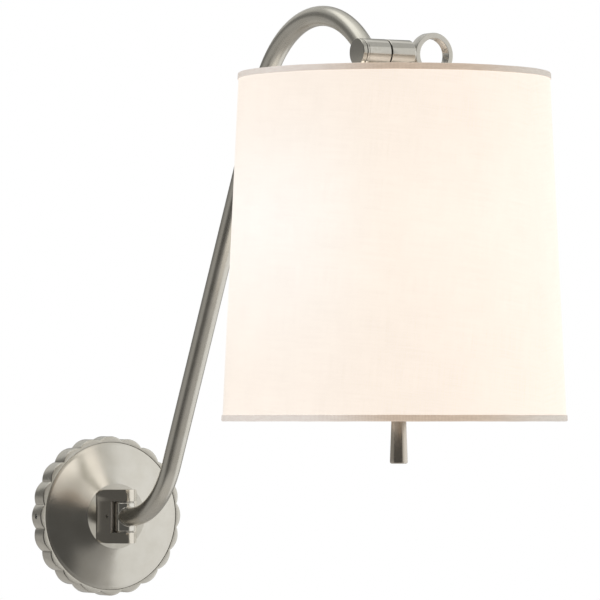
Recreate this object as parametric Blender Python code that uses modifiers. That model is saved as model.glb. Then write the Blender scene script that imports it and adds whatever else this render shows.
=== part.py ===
"""Swing-arm wall light: a scalloped round backplate with a clevis hinge, a bent
tube arm, a friction knuckle with a ring screw, and a tapered drum shade that
hangs from the knuckle with its lamp holder, dimmer and knob inside.

Frame: the origin is the middle of the wall plate, on the wall plane. +X is to
the right for a person facing the wall, -Y is out into the room, +Z is up.
Units are metres.
"""

import math

import bmesh
import bpy
from mathutils import Vector

# ---------------------------------------------------------------- dimensions
MM = 0.001
GAP = 0.3 * MM                      # clearance between touching pieces

# wall plate
SCALLOPS = 20
PLATE_TIP_R = 57.15 * MM            # 4.5 inch across the scallop tips
PLATE_VALLEY_R = 54.7 * MM
RIM_DEPTH = 13.3 * MM
LAND_R = 53.6 * MM                  # inner edge of the rim's front land
DOME_R = 52.7 * MM
DOME_FOOT = 13.2 * MM               # height of the dome's foot above the wall
BOSS_R = 23.4 * MM
BOSS_HEIGHT = 21.3 * MM
DOME_WALL = 1.3 * MM
STRAP_SCREW_X = 44.45 * MM          # 3.5 inch outlet box spacing

# hinge at the wall
HINGE_Y = -34.0 * MM
BARREL_R = 7.1 * MM
LUG_HALF = 19.15 * MM
LUG_UPPER_FACE = 10.8 * MM
LUG_LOWER_FACE = -11.6 * MM
BRACKET_HALF_WIDTH = 16.5 * MM
PIN_R = 2.7 * MM
PIN_BORE_R = 3.0 * MM

# arm
TUBE_R = 6.75 * MM
TUBE_WALL = 1.0 * MM
ARM_START = 9.1 * MM                # from the hinge axis to the first bend
RISE_R = 65.8 * MM
LEAN = math.radians(26.45)          # straight run, from the vertical
STRAIGHT = 286.8 * MM
ARCH_R = 83.4 * MM
ARCH_TURN = math.radians(112.8)

# knuckle
KNUCKLE_Y = -369.5 * MM
KNUCKLE_Z = 311.1 * MM
KNUCKLE_R = 9.2 * MM
CLAMP_R = 2.7 * MM
CLAMP_BORE_R = 3.0 * MM
RING_X = 48.5 * MM
RING_OUTER = 14.7 * MM
RING_INNER = 10.9 * MM
RING_HALF = 3.85 * MM

# shade
SHADE_X = 19.6 * MM
SHADE_TOP_Z = 298.1 * MM
SHADE_BOTTOM_Z = 68.1 * MM
SHADE_TOP_R = 103.5 * MM
SHADE_BOTTOM_R = 114.3 * MM
TRIM_HEIGHT = 4.1 * MM
TRIM_WALL = 0.4 * MM
FABRIC_WALL = 1.0 * MM

# lamp holder
LEG_HALF = 38.0 * MM
LEG_FOOT_HALF = 24.0 * MM
LEG_R = 2.0 * MM
BULB_R = 30.0 * MM
BULB_CENTRE_Z = 213.0 * MM
BULB_NECK_Z = 147.5 * MM

# knob
KNOB_X = SHADE_X + 3.4 * MM        # its axis stands beside the shade's
KNOB_BOTTOM_Z = 40.0 * MM
KNOB_TOP_Z = 80.0 * MM
KNOB_BOTTOM_R = 5.9 * MM
KNOB_TOP_R = 4.45 * MM

# ---------------------------------------------------------------- scene
for old in list(bpy.data.objects):
    bpy.data.objects.remove(old, do_unlink=True)

PARTS = bpy.data.collections.new("swing_arm_wall_light")
CUTTERS = bpy.data.collections.new("cutters")
bpy.context.scene.collection.children.link(PARTS)
bpy.context.scene.collection.children.link(CUTTERS)


def finish(name, colour, roughness, metallic):
    mat = bpy.data.materials.new(name)
    mat.use_nodes = True
    shader = mat.node_tree.nodes["Principled BSDF"]
    shader.inputs["Base Color"].default_value = (*colour, 1.0)
    shader.inputs["Roughness"].default_value = roughness
    shader.inputs["Metallic"].default_value = metallic
    return mat


def satin(name):
    return finish(name + "_satin_nickel", (0.62, 0.59, 0.54), 0.32, 1.0)


def bright(name):
    return finish(name + "_bright_nickel", (0.72, 0.69, 0.64), 0.12, 1.0)


def steel(name):
    return finish(name + "_zinc_steel", (0.6, 0.6, 0.6), 0.4, 1.0)


def brass(name):
    return finish(name + "_brass", (0.72, 0.55, 0.26), 0.3, 1.0)


def plastic(name, colour):
    return finish(name + "_plastic", colour, 0.5, 0.0)


def pivot(name, location, parent=None):
    """An empty on a joint's axis. It keeps its world place under its parent."""
    empty = bpy.data.objects.new(name, None)
    empty.empty_display_size = 0.02
    PARTS.objects.link(empty)
    empty.parent = parent
    empty["world"] = tuple(location)
    base = Vector(parent["world"]) if parent else Vector()
    empty.location = Vector(location) - base
    return empty


FRAME = pivot("wall_frame", (0.0, 0.0, 0.0))
ARM_PIVOT = pivot("arm_swing_axis", (0.0, HINGE_Y, 0.0), FRAME)
SCREW_PIVOT = pivot("clamp_screw_axis", (RING_X, KNUCKLE_Y, KNUCKLE_Z), ARM_PIVOT)
HEAD_PIVOT = pivot("shade_tilt_axis", (SHADE_X, KNUCKLE_Y, KNUCKLE_Z), ARM_PIVOT)
KNOB_PIVOT = pivot("dimmer_axis", (KNOB_X, KNUCKLE_Y, KNOB_BOTTOM_Z), HEAD_PIVOT)

FACE_ROOM = (math.pi / 2, 0.0, 0.0)      # local +Z points to -Y
ALONG_X = (0.0, math.pi / 2, 0.0)        # local +Z points to +X
UPRIGHT = (0.0, 0.0, 0.0)


def put(obj, mat, parent, at=(0.0, 0.0, 0.0), turn=UPRIGHT, cutter=False):
    """Places an object by its world position, under a pivot."""
    (CUTTERS if cutter else PARTS).objects.link(obj)
    if mat is not None:
        obj.data.materials.append(mat)
    if parent is not None and not cutter:
        obj.parent = parent
        at = Vector(at) - Vector(parent["world"])
    obj.location = at
    obj.rotation_euler = turn
    if cutter:
        obj.hide_render = True
        obj.display_type = "WIRE"
    return obj


def smooth(mesh, angle=35.0):
    mesh.shade_smooth()
    mesh.set_sharp_from_angle(angle=math.radians(angle))


def turned(name, profile, steps, mat=None, parent=None, at=(0.0, 0.0, 0.0), turn=UPRIGHT, cutter=False):
    """A turned piece: (radius, height) points and a Screw modifier. The outer side runs top to bottom."""
    area = sum(
        a[0] * b[1] - b[0] * a[1] for a, b in zip(profile, profile[1:] + profile[:1])
    )
    points = list(profile) if area < 0 else list(reversed(profile))
    on_axis = [i for i, p in enumerate(points) if p[0] < 1e-9]
    edges = [(i, i + 1) for i in range(len(points) - 1)]
    if not on_axis:
        edges.append((len(points) - 1, 0))
    mesh = bpy.data.meshes.new(name)
    mesh.from_pydata([(r, 0.0, h) for r, h in points], edges, [])
    obj = put(bpy.data.objects.new(name, mesh), mat, parent, at, turn, cutter)
    screw = obj.modifiers.new("turn", "SCREW")
    screw.axis = "Z"
    screw.steps = screw.render_steps = steps
    screw.use_merge_vertices = True
    screw.merge_threshold = 0.00001
    screw.use_smooth_shade = True
    return obj


def rod(name, radius, low, high, sides=24, chamfer=0.0, **where):
    """A plain or chamfered cylinder along local Z."""
    if chamfer:
        profile = [(0.0, high), (radius - chamfer, high), (radius, high - chamfer),
                   (radius, low + chamfer), (radius - chamfer, low), (0.0, low)]
    else:
        profile = [(0.0, high), (radius, high), (radius, low), (0.0, low)]
    return turned(name, profile, sides, **where)


def sleeve(name, outer, inner, low, high, sides=24, chamfer=0.0, **where):
    c = chamfer
    if c:
        profile = [(inner, high), (outer - c, high), (outer, high - c), (outer, low + c), (outer - c, low), (inner, low)]
    else:
        profile = [(inner, high), (outer, high), (outer, low), (inner, low)]
    return turned(name, profile, sides, **where)


def as_mesh(obj):
    """Turns a curve into a mesh object with welded caps."""
    bpy.context.view_layer.update()
    graph = bpy.context.evaluated_depsgraph_get()
    mesh = bpy.data.meshes.new_from_object(obj.evaluated_get(graph))
    name = obj.name
    bm = bmesh.new()
    bm.from_mesh(mesh)
    bmesh.ops.remove_doubles(bm, verts=bm.verts, dist=0.000001)
    bmesh.ops.recalc_face_normals(bm, faces=bm.faces)
    bm.to_mesh(mesh)
    bm.free()
    new = bpy.data.objects.new(name + "_mesh", mesh)
    for home in obj.users_collection:
        home.objects.link(new)
    new.parent = obj.parent
    new.matrix_world = obj.matrix_world
    new.hide_render = obj.hide_render
    new.display_type = obj.display_type
    bpy.data.objects.remove(obj, do_unlink=True)
    new.name = name
    return new


def plate(name, outline, half, mat=None, parent=None, at=(0.0, 0.0, 0.0), turn=UPRIGHT, cutter=False):
    """A flat outline, extruded by half its thickness each way along local Z."""
    curve = bpy.data.curves.new(name, "CURVE")
    curve.dimensions = "2D"
    curve.fill_mode = "BOTH"
    curve.extrude = half
    for loop in outline if isinstance(outline[0], list) else [outline]:
        spline = curve.splines.new("POLY")
        spline.points.add(len(loop) - 1)
        for point, (x, y) in zip(spline.points, loop):
            point.co = (x, y, 0.0, 1.0)
        spline.use_cyclic_u = True
    return as_mesh(put(bpy.data.objects.new(name, curve), mat, parent, at, turn, cutter))


def wire(name, points, radius, sides=8, capped=True, mat=None, parent=None, cutter=False):
    """A round wire or tube along world points."""
    curve = bpy.data.curves.new(name, "CURVE")
    curve.dimensions = "3D"
    curve.fill_mode = "FULL"
    curve.bevel_depth = radius
    curve.bevel_resolution = (sides - 4) // 2
    curve.use_fill_caps = capped
    spline = curve.splines.new("POLY")
    spline.points.add(len(points) - 1)
    base = Vector(parent["world"]) if parent is not None and not cutter else Vector()
    for point, where in zip(spline.points, points):
        point.co = (*(Vector(where) - base), 1.0)
    return put(bpy.data.objects.new(name, curve), mat, parent, base, UPRIGHT, cutter)


def cut(obj, cutter, operation="DIFFERENCE"):
    boolean = obj.modifiers.new(f"{operation.lower()}_{cutter.name}", "BOOLEAN")
    boolean.operation = operation
    boolean.solver = "EXACT"
    boolean.object = cutter
    return obj


def arc(cx, cy, radius, start, end, count):
    """Points of an arc, in degrees, both ends included."""
    return [
        (
            cx + radius * math.cos(math.radians(start + (end - start) * i / count)),
            cy + radius * math.sin(math.radians(start + (end - start) * i / count)),
        )
        for i in range(count + 1)
    ]


def smooth_route(knots, count):
    """A Catmull-Rom curve through the knots, read off at even steps."""
    pts = [Vector(k) for k in knots]
    pts = [2 * pts[0] - pts[1]] + pts + [2 * pts[-1] - pts[-2]]
    out = []
    spans = len(pts) - 3
    for i in range(count + 1):
        u = i / count * spans
        k = min(int(u), spans - 1)
        t = u - k
        a, b, c, d = pts[k:k + 4]
        out.append(
            0.5 * ((2 * b) + (c - a) * t + (2 * a - 5 * b + 4 * c - d) * t * t + (3 * b - a - 3 * c + d) * t ** 3)
        )
    return out


# ---------------------------------------------------------------- wall plate
def scallop_radius(angle):
    """Twenty convex lobes with sharp valleys between them, one tip on +X."""
    lobe = abs(math.cos(angle * SCALLOPS / 2.0))
    return PLATE_VALLEY_R + (PLATE_TIP_R - PLATE_VALLEY_R) * lobe ** 0.8


def build_scalloped_rim():
    """A turned ring whose outermost points follow the lobes, cut for its two set screws."""
    tip = PLATE_TIP_R
    profile = [
        (tip, 0.0), (tip, 12.4 * MM), (tip - 1.0 * MM, RIM_DEPTH), (LAND_R, RIM_DEPTH),
        (LAND_R, 11.2 * MM), (49.5 * MM, 11.2 * MM), (49.5 * MM, 9.4 * MM), (53.2 * MM, 9.4 * MM), (53.2 * MM, 0.0),
    ]
    ring = turned("scalloped_rim", profile, SCALLOPS * 6)
    bpy.context.view_layer.update()
    graph = bpy.context.evaluated_depsgraph_get()
    mesh = bpy.data.meshes.new_from_object(ring.evaluated_get(graph))
    bpy.data.objects.remove(ring, do_unlink=True)
    bm = bmesh.new()
    bm.from_mesh(mesh)
    for vert in bm.verts:
        radius = math.hypot(vert.co.x, vert.co.y)
        if radius > 55.0 * MM:
            angle = math.atan2(vert.co.y, vert.co.x)
            wanted = radius - tip + scallop_radius(angle)
            vert.co.x *= wanted / radius
            vert.co.y *= wanted / radius
    bmesh.ops.recalc_face_normals(bm, faces=bm.faces)
    bm.to_mesh(mesh)
    bm.free()
    rim = put(bpy.data.objects.new("scalloped_rim", mesh), satin("rim"), FRAME, turn=FACE_ROOM)
    hole = rod("rim_screw_hole", 1.8 * MM, -60 * MM, 60 * MM, 12, at=(0, -6.5 * MM, 0), turn=ALONG_X, cutter=True)
    cut(rim, hole)
    return rim


def dome_height(radius):
    """Nearly straight cone, a little convex at the foot and concave at the boss."""
    foot, top = DOME_R - 1.4 * MM, BOSS_R + 0.4 * MM
    t = min(max((foot - radius) / (foot - top), 0.0), 1.0)
    return DOME_FOOT + (BOSS_HEIGHT - 0.2 * MM - DOME_FOOT) * (t + 0.045 * math.sin(2 * math.pi * t))


def build_backplate_dome():
    """The domed cover: a thin turned shell, open at the back, with its foot on the rim's ledge."""
    foot, top = DOME_R - 1.4 * MM, BOSS_R + 0.4 * MM
    count = 5
    slope = [(foot + (top - foot) * i / count) for i in range(count + 1)]
    outer = [(0.0, BOSS_HEIGHT), (BOSS_R, BOSS_HEIGHT)]
    outer += [(r, dome_height(r)) for r in reversed(slope)]
    outer += [(DOME_R - 0.3 * MM, DOME_FOOT - 0.3 * MM), (DOME_R, DOME_FOOT - 0.8 * MM), (DOME_R, 11.5 * MM)]
    inner = [(50.6 * MM, 11.5 * MM)]
    inner += [(r - 1.0 * MM, dome_height(r) - DOME_WALL) for r in slope]
    inner += [(BOSS_R - 1.2 * MM, BOSS_HEIGHT - 1.5 * MM), (0.0, BOSS_HEIGHT - 1.5 * MM)]
    dome = turned("backplate_dome", outer + inner, 40, satin("dome"), FRAME, turn=FACE_ROOM)
    for z in (15.0 * MM, -15.0 * MM):
        cut(dome, rod(f"dome_screw_hole_{'upper' if z > 0 else 'lower'}", 2.3 * MM, 15 * MM, 25 * MM, 12,
                      at=(0, 0, z), turn=FACE_ROOM, cutter=True))
    cut(dome, rod("dome_wire_hole", 3.4 * MM, 15 * MM, 25 * MM, 16, turn=FACE_ROOM, cutter=True))
    return dome


def build_mounting_strap():
    """A bent steel strap whose two ears take the plate's side screws. Its middle is solid."""
    x, e = 52.2 * MM, 1.8 * MM
    outline = [(-x, 0.0), (-x, -8.6 * MM), (e - x, -8.6 * MM), (e - x, -2 * MM),
               (x - e, -2 * MM), (x - e, -8.6 * MM), (x, -8.6 * MM), (x, 0.0)]
    strap = plate("mounting_strap", outline, 8.0 * MM, steel("strap"), FRAME)
    for side in (-1, 1):
        cut(strap, rod(f"strap_box_hole_{'left' if side < 0 else 'right'}", 2.3 * MM, -1 * MM, 4 * MM, 12,
                       at=(side * STRAP_SCREW_X, 0, 0), turn=FACE_ROOM, cutter=True))
    cut(strap, rod("strap_ground_hole", 2.1 * MM, -1 * MM, 4 * MM, 12, at=(-24 * MM, 0, 0), turn=FACE_ROOM, cutter=True))
    cut(strap, rod("strap_ear_hole", 1.8 * MM, -60 * MM, 60 * MM, 12, at=(0, -6.5 * MM, 0), turn=ALONG_X, cutter=True))
    return strap


def pan_head(shank, head, low, seat, top):
    """Profile of a pan-head screw along local Z, head up."""
    return [(0.0, top), (head * 0.55, top), (head * 0.9, top - (top - seat) * 0.35), (head, seat + (top - seat) * 0.35),
            (head, seat), (shank, seat), (shank, low), (0.0, low)]


def build_wall_hardware():
    for side, word in ((-1, "left"), (1, "right")):
        turned(f"strap_screw_{word}", pan_head(1.9 * MM, 3.6 * MM, 0.2 * MM, 2.3 * MM, 4.8 * MM), 12,
               steel(f"strap_screw_{word}"), FRAME, at=(side * STRAP_SCREW_X, 0, 0), turn=FACE_ROOM)
        ends = sorted((side * 50.4 * MM, side * 56.6 * MM))
        rod(f"rim_set_screw_{word}", 1.5 * MM, ends[0], ends[1], 12, 0.25 * MM, mat=steel(f"rim_set_screw_{word}"),
            parent=FRAME, at=(0, -6.5 * MM, 0), turn=ALONG_X)
    turned("ground_screw", pan_head(1.7 * MM, 3.4 * MM, 0.2 * MM, 2.3 * MM, 4.6 * MM), 12,
           finish("ground_screw_green", (0.05, 0.3, 0.12), 0.4, 0.6), FRAME, at=(-24 * MM, 0, 0), turn=FACE_ROOM)
    for side, word in ((1, "upper"), (-1, "lower")):
        turned(f"bracket_screw_{word}", pan_head(2.0 * MM, 4.0 * MM, 28.5 * MM, 19.4 * MM, 16.6 * MM), 12,
               steel(f"bracket_screw_{word}"), FRAME, at=(0, 0, side * 15 * MM), turn=FACE_ROOM)


# ---------------------------------------------------------------- wall hinge
def keystone(inset=0.0):
    """Plan of the clevis: a straight back edge, tapering to an arc about the hinge axis."""
    half, back = BRACKET_HALF_WIDTH - inset, -(BOSS_HEIGHT + GAP)
    radius = BARREL_R - inset
    dx, dy = half, back - HINGE_Y
    reach, bearing = math.hypot(dx, dy), math.atan2(dy, dx)
    touch = math.degrees(bearing - math.acos(radius / reach))
    front = arc(0.0, HINGE_Y, radius, touch, -180.0 - touch, 14)
    return [(-half, back), (half, back)] + front


def rounded_rectangle(half_x, half_y, radius, count=4):
    out = []
    for sx, sy, start in ((1, 1, 0), (-1, 1, 90), (-1, -1, 180), (1, -1, 270)):
        out += arc(sx * (half_x - radius), sy * (half_y - radius), radius, start, start + 90, count)
    return out


def build_hinge_bracket():
    """Clevis: two lugs joined by a slightly narrower web that clears the barrel and the swinging tube."""
    lug = (LUG_HALF - LUG_UPPER_FACE) / 2
    upper = plate("hinge_bracket", keystone(), lug, satin("bracket"), FRAME, at=(0, 0, LUG_HALF - lug))
    low = (LUG_HALF + LUG_LOWER_FACE) / 2
    lower = plate("bracket_lower_lug", keystone(), low, at=(0, 0, -LUG_HALF + low), cutter=True)
    web_mid = (LUG_UPPER_FACE + LUG_LOWER_FACE) / 2
    web_half = (LUG_UPPER_FACE - LUG_LOWER_FACE) / 2
    web = plate("bracket_web", keystone(0.25 * MM), web_half + 1.0 * MM, at=(0, 0, web_mid), cutter=True)
    cut(upper, web, "UNION")
    cut(upper, lower, "UNION")
    face = plate("bracket_face", rounded_rectangle(BRACKET_HALF_WIDTH, LUG_HALF, 5.0 * MM), 30 * MM,
                 at=(0, -34 * MM, 0), turn=FACE_ROOM, cutter=True)
    cut(upper, face, "INTERSECT")
    # room for the barrel and for the tube as it swings 50 degrees each way
    swing = math.radians(51.0)
    side = TUBE_R + 0.9 * MM
    foot = Vector((side * math.cos(swing), side * math.sin(swing)))
    run = Vector((math.sin(swing), -math.cos(swing)))
    far = foot + run * 40 * MM
    room = [(foot.x, HINGE_Y + foot.y), (far.x, HINGE_Y + far.y), (far.x, HINGE_Y - 40 * MM),
            (-far.x, HINGE_Y - 40 * MM), (-far.x, HINGE_Y + far.y), (-foot.x, HINGE_Y + foot.y)]
    cut(upper, plate("bracket_swing_room", room, web_half, at=(0, 0, web_mid), cutter=True))
    cut(upper, rod("bracket_barrel_room", BARREL_R + 0.35 * MM, LUG_LOWER_FACE, LUG_UPPER_FACE, 32,
                   at=(0, HINGE_Y, 0), cutter=True))
    cut(upper, rod("bracket_pin_bore", PIN_BORE_R, -25 * MM, 25 * MM, 20, at=(0, HINGE_Y, 0), cutter=True))
    for z in (15.0 * MM, -15.0 * MM):
        cut(upper, rod(f"bracket_screw_hole_{'upper' if z > 0 else 'lower'}", 2.3 * MM, 18 * MM, 29 * MM, 12,
                       at=(0, 0, z), turn=FACE_ROOM, cutter=True))
    cut(upper, rod("bracket_wire_hole", 2.9 * MM, 18 * MM, 34 * MM, 16, turn=FACE_ROOM, cutter=True))
    cut(upper, rod("bracket_set_hole", 1.1 * MM, -20 * MM, -7.8 * MM, 10, at=(0, -28.8 * MM, 0), turn=ALONG_X, cutter=True))
    rod("bracket_set_screw", 0.8 * MM, -11.2 * MM, -8.1 * MM, 10, mat=steel("bracket_set_screw"),
        parent=FRAME, at=(0, -28.8 * MM, 0), turn=ALONG_X)
    return upper


def build_hinge_inside():
    for side, word in ((1, "upper"), (-1, "lower")):
        low, high = sorted((side * 4.5 * MM, side * 18.8 * MM))
        rod(f"pivot_screw_{word}", PIN_R, low, high, 20, 0.3 * MM, mat=steel(f"pivot_screw_{word}"),
            parent=FRAME, at=(0, HINGE_Y, 0))
        face = LUG_UPPER_FACE if side > 0 else LUG_LOWER_FACE
        low, high = sorted((face - side * 0.3 * MM, face - side * 0.75 * MM))
        sleeve(f"hinge_washer_{word}", 6.9 * MM, 3.1 * MM, low, high, 20, mat=bright(f"hinge_washer_{word}"),
               parent=FRAME, at=(0, HINGE_Y, 0))
    barrel = sleeve("wall_barrel", BARREL_R, PIN_BORE_R, -10.6 * MM, 9.8 * MM, 32, 0.3 * MM, mat=bright("barrel"),
                    parent=ARM_PIVOT, at=(0, HINGE_Y, 0))
    cut(barrel, rod("barrel_wire_port", 2.4 * MM, -12 * MM, 12 * MM, 16, at=(0, HINGE_Y, 0), turn=FACE_ROOM, cutter=True))


# ---------------------------------------------------------------- leads in the wall plate
def build_canopy_leads():
    for name, side, colour in (("lead_line", 1, (0.02, 0.02, 0.02)), ("lead_neutral", -1, (0.8, 0.8, 0.78))):
        knots = [(side * 1.3, -26.2, 0), (side * 1.3, -19.5, 0), (side * 2.0, -13.5, 0), (side * 7.0, -9.0, -7.0),
                 (side * 8.5, -8.0, -19.0), (side * 13.0, -8.0, -26.0), (side * 19.0, -8.0, -27.0)]
        route = smooth_route([tuple(c * MM for c in k) for k in knots], 14)
        wire(name, route, 1.1 * MM, 6, mat=plastic(name, colour), parent=FRAME)
    profile = [(0.0, 38.0 * MM), (2.6 * MM, 37.6 * MM), (3.4 * MM, 35 * MM), (4.6 * MM, 24 * MM), (4.6 * MM, 19.4 * MM),
               (0.0, 19.4 * MM)]
    for side, word in ((-1, "left"), (1, "right")):
        turned(f"wire_connector_{word}", profile, 12, plastic(f"wire_connector_{word}", (0.75, 0.25, 0.03)), FRAME,
               at=(0, -8.0 * MM, -27.0 * MM), turn=(0.0, side * math.pi / 2, 0.0))


# ---------------------------------------------------------------- arm
def arm_point(reach, height):
    return Vector((0.0, HINGE_Y - reach, height))


def arm_centreline(rise_steps, arch_steps):
    """From the hinge axis out, up round the first bend, along the straight run and over the arch."""
    points = [(0.0, 0.0)]
    up = math.pi / 2 - LEAN
    for i in range(rise_steps + 1):
        a = up * i / rise_steps
        points.append((ARM_START + RISE_R * math.sin(a), RISE_R * (1 - math.cos(a))))
    r, z = points[-1]
    r, z = r + STRAIGHT * math.cos(up), z + STRAIGHT * math.sin(up)
    points.append((r, z))
    cr, cz = r + ARCH_R * math.sin(up), z - ARCH_R * math.cos(up)
    for i in range(1, arch_steps + 1):
        heading = up - ARCH_TURN * i / arch_steps
        points.append((cr - ARCH_R * math.sin(heading), cz + ARCH_R * math.cos(heading)))
    heading = up - ARCH_TURN
    r, z = points[-1]
    points.append((r + 1.5 * MM * math.cos(heading), z + 1.5 * MM * math.sin(heading)))
    return [arm_point(r, z) for r, z in points]


def build_arm():
    tube = as_mesh(wire("arm_tube", arm_centreline(8, 15), TUBE_R, 16, False, satin("arm"), ARM_PIVOT))
    shell = tube.modifiers.new("wall", "SOLIDIFY")
    shell.thickness = TUBE_WALL
    shell.offset = -1.0
    cut(tube, rod("tube_barrel_cope", BARREL_R + GAP, -15 * MM, 15 * MM, 32, at=(0, HINGE_Y, 0), cutter=True))
    cut(tube, rod("tube_knuckle_cope", KNUCKLE_R + GAP, -20 * MM, 20 * MM, 32, at=(0, KNUCKLE_Y, KNUCKLE_Z),
                  turn=ALONG_X, cutter=True))
    route = arm_centreline(8, 14)
    route = [arm_point(2.0 * MM, 0.0)] + route[1:-2]
    wire("arm_wire", route, 1.6 * MM, 6, mat=plastic("arm_wire", (0.05, 0.05, 0.05)), parent=ARM_PIVOT)

    where = dict(parent=ARM_PIVOT, at=(0, KNUCKLE_Y, KNUCKLE_Z), turn=ALONG_X)
    knuckle = sleeve("knuckle_arm", KNUCKLE_R, CLAMP_BORE_R, -6.1 * MM, 12.0 * MM, 32, 0.4 * MM,
                     mat=bright("knuckle_arm"), **where)
    cut(knuckle, rod("knuckle_wire_port", 2.4 * MM, 0.0, 12 * MM, 12, at=(0, KNUCKLE_Y, KNUCKLE_Z),
                     turn=(math.radians(-49.2), 0, 0), cutter=True))
    profile = [(0.0, -9.5 * MM), (KNUCKLE_R - 0.5 * MM, -9.5 * MM), (KNUCKLE_R, -9.0 * MM), (KNUCKLE_R, -6.8 * MM),
               (KNUCKLE_R - 0.4 * MM, -6.4 * MM), (CLAMP_BORE_R, -6.4 * MM), (CLAMP_BORE_R, -8.4 * MM), (0.0, -8.4 * MM)]
    turned("knuckle_cap", profile, 32, satin("knuckle_cap"), **where)
    sleeve("friction_washer", 8.6 * MM, 3.1 * MM, 12.3 * MM, 12.7 * MM, 20, mat=plastic("friction_washer", (0.04, 0.04, 0.04)),
           **where)


# ---------------------------------------------------------------- ring screw
def build_finger_ring():
    """A flat ring on a threaded shank that clamps the two halves of the knuckle."""
    c = 0.5 * MM
    h = RING_HALF
    profile = [(RING_INNER, h - c), (RING_INNER + c, h), (RING_OUTER - c, h), (RING_OUTER, h - c),
               (RING_OUTER, c - h), (RING_OUTER - c, -h), (RING_INNER + c, -h), (RING_INNER, c - h)]
    ring = turned("finger_ring", profile, 32, bright("finger_ring"), SCREW_PIVOT, (RING_X, KNUCKLE_Y, KNUCKLE_Z), FACE_ROOM)
    shank = [(0.0, 37.0 * MM), (2.1 * MM, 37.0 * MM), (2.6 * MM, 34.0 * MM), (4.6 * MM, 33.6 * MM), (5.0 * MM, 33.1 * MM),
             (5.0 * MM, 32.2 * MM), (CLAMP_R, 32.2 * MM), (CLAMP_R, -7.6 * MM), (2.2 * MM, -8.0 * MM), (0.0, -8.0 * MM)]
    cut(ring, turned("ring_shank", shank, 20, at=(0, KNUCKLE_Y, KNUCKLE_Z), turn=ALONG_X, cutter=True), "UNION")


# ---------------------------------------------------------------- shade head
def head(x=0.0, y=0.0, z=0.0):
    """A world point given from the shade's axis, with z above the wall frame's origin."""
    return (SHADE_X + x, KNUCKLE_Y + y, z)


def shade_radius(z):
    t = (SHADE_TOP_Z - z) / (SHADE_TOP_Z - SHADE_BOTTOM_Z)
    return SHADE_TOP_R + (SHADE_BOTTOM_R - SHADE_TOP_R) * t


def build_knuckle_head():
    body = turned(
        "knuckle_head",
        [(0.0, 31.8 * MM), (KNUCKLE_R - 1.3 * MM, 31.8 * MM), (KNUCKLE_R, 30.6 * MM), (KNUCKLE_R, 13.4 * MM),
         (KNUCKLE_R - 0.4 * MM, 13.0 * MM), (0.0, 13.0 * MM)],
        32, bright("knuckle_head"), HEAD_PIVOT, (0, KNUCKLE_Y, KNUCKLE_Z), ALONG_X)
    boss = rod("knuckle_boss", 6.3 * MM, 291.5 * MM, KNUCKLE_Z, 28, 0.0, at=head(), cutter=True)
    cut(body, boss, "UNION")
    cut(body, rod("knuckle_head_bore", CLAMP_BORE_R, 0.0, 40 * MM, 20, at=(0, KNUCKLE_Y, KNUCKLE_Z), turn=ALONG_X, cutter=True))
    cut(body, rod("knuckle_head_socket", 5.0 * MM, 285 * MM, 303.4 * MM, 20, at=head(), cutter=True))


def hexagon(across_flats):
    radius = across_flats / math.sqrt(3)
    return [(radius * math.cos(math.radians(60 * i)), radius * math.sin(math.radians(60 * i))) for i in range(6)]


def circle(radius, count, reverse=False):
    points = [(radius * math.cos(2 * math.pi * i / count), radius * math.sin(2 * math.pi * i / count)) for i in range(count)]
    return points[::-1] if reverse else points


def build_shade_frame():
    sleeve("head_nipple", 4.7 * MM, 3.2 * MM, 281.0 * MM, 303.0 * MM, 20, mat=brass("head_nipple"), parent=HEAD_PIVOT, at=head())
    plate("harp_top_plate", [rounded_rectangle(17 * MM, 6 * MM, 5 * MM), circle(5.0 * MM, 20)], 0.8 * MM,
          brass("harp_top_plate"), HEAD_PIVOT, head(z=290.3 * MM))
    plate("retaining_nut", [hexagon(15 * MM), circle(5.0 * MM, 20)], 1.8 * MM, brass("retaining_nut"), HEAD_PIVOT,
          head(z=285.2 * MM))

    # three arms and a hub washer, in one piece with the shade's upper wire ring
    ring_z = SHADE_TOP_Z - 1.9 * MM
    ring_r = shade_radius(ring_z) - 3.2 * MM
    spider = sleeve("shade_spider", 9.6 * MM, 5.0 * MM, 287.4 * MM, 289.2 * MM, 24, mat=satin("spider"),
                    parent=HEAD_PIVOT, at=head())
    for i, bearing in enumerate((90, 210, 330)):
        c, s = math.cos(math.radians(bearing)), math.sin(math.radians(bearing))
        knots = [(8.0, 287.9), (30.0, 287.9), (60.0, 288.1), (88.0, 289.4), (96.0, 292.0), (ring_r / MM, ring_z / MM)]
        route = smooth_route([head(r * c * MM, r * s * MM, z * MM) for r, z in knots], 9)
        arm = as_mesh(wire(f"spider_arm_{i}", route, 1.3 * MM, 6, cutter=True))
        cut(spider, arm, "UNION")
    cut(spider, as_turned_ring("spider_ring", ring_r, 1.25 * MM, 48, head(z=ring_z), cutter=True), "UNION")

    low_z = SHADE_BOTTOM_Z + 1.9 * MM
    as_turned_ring("shade_bottom_ring", shade_radius(low_z) - 3.3 * MM, 1.25 * MM, 48, head(z=low_z),
                   mat=satin("bottom_ring"), parent=HEAD_PIVOT)


def as_turned_ring(name, major, minor, steps, at, **where):
    """A wire ring: a circle of radius minor turned at radius major."""
    profile = [(major + minor * math.cos(math.radians(60 * i + 30)), minor * math.sin(math.radians(60 * i + 30)))
               for i in range(6)]
    return turned(name, profile, steps, at=at, **where)


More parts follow.
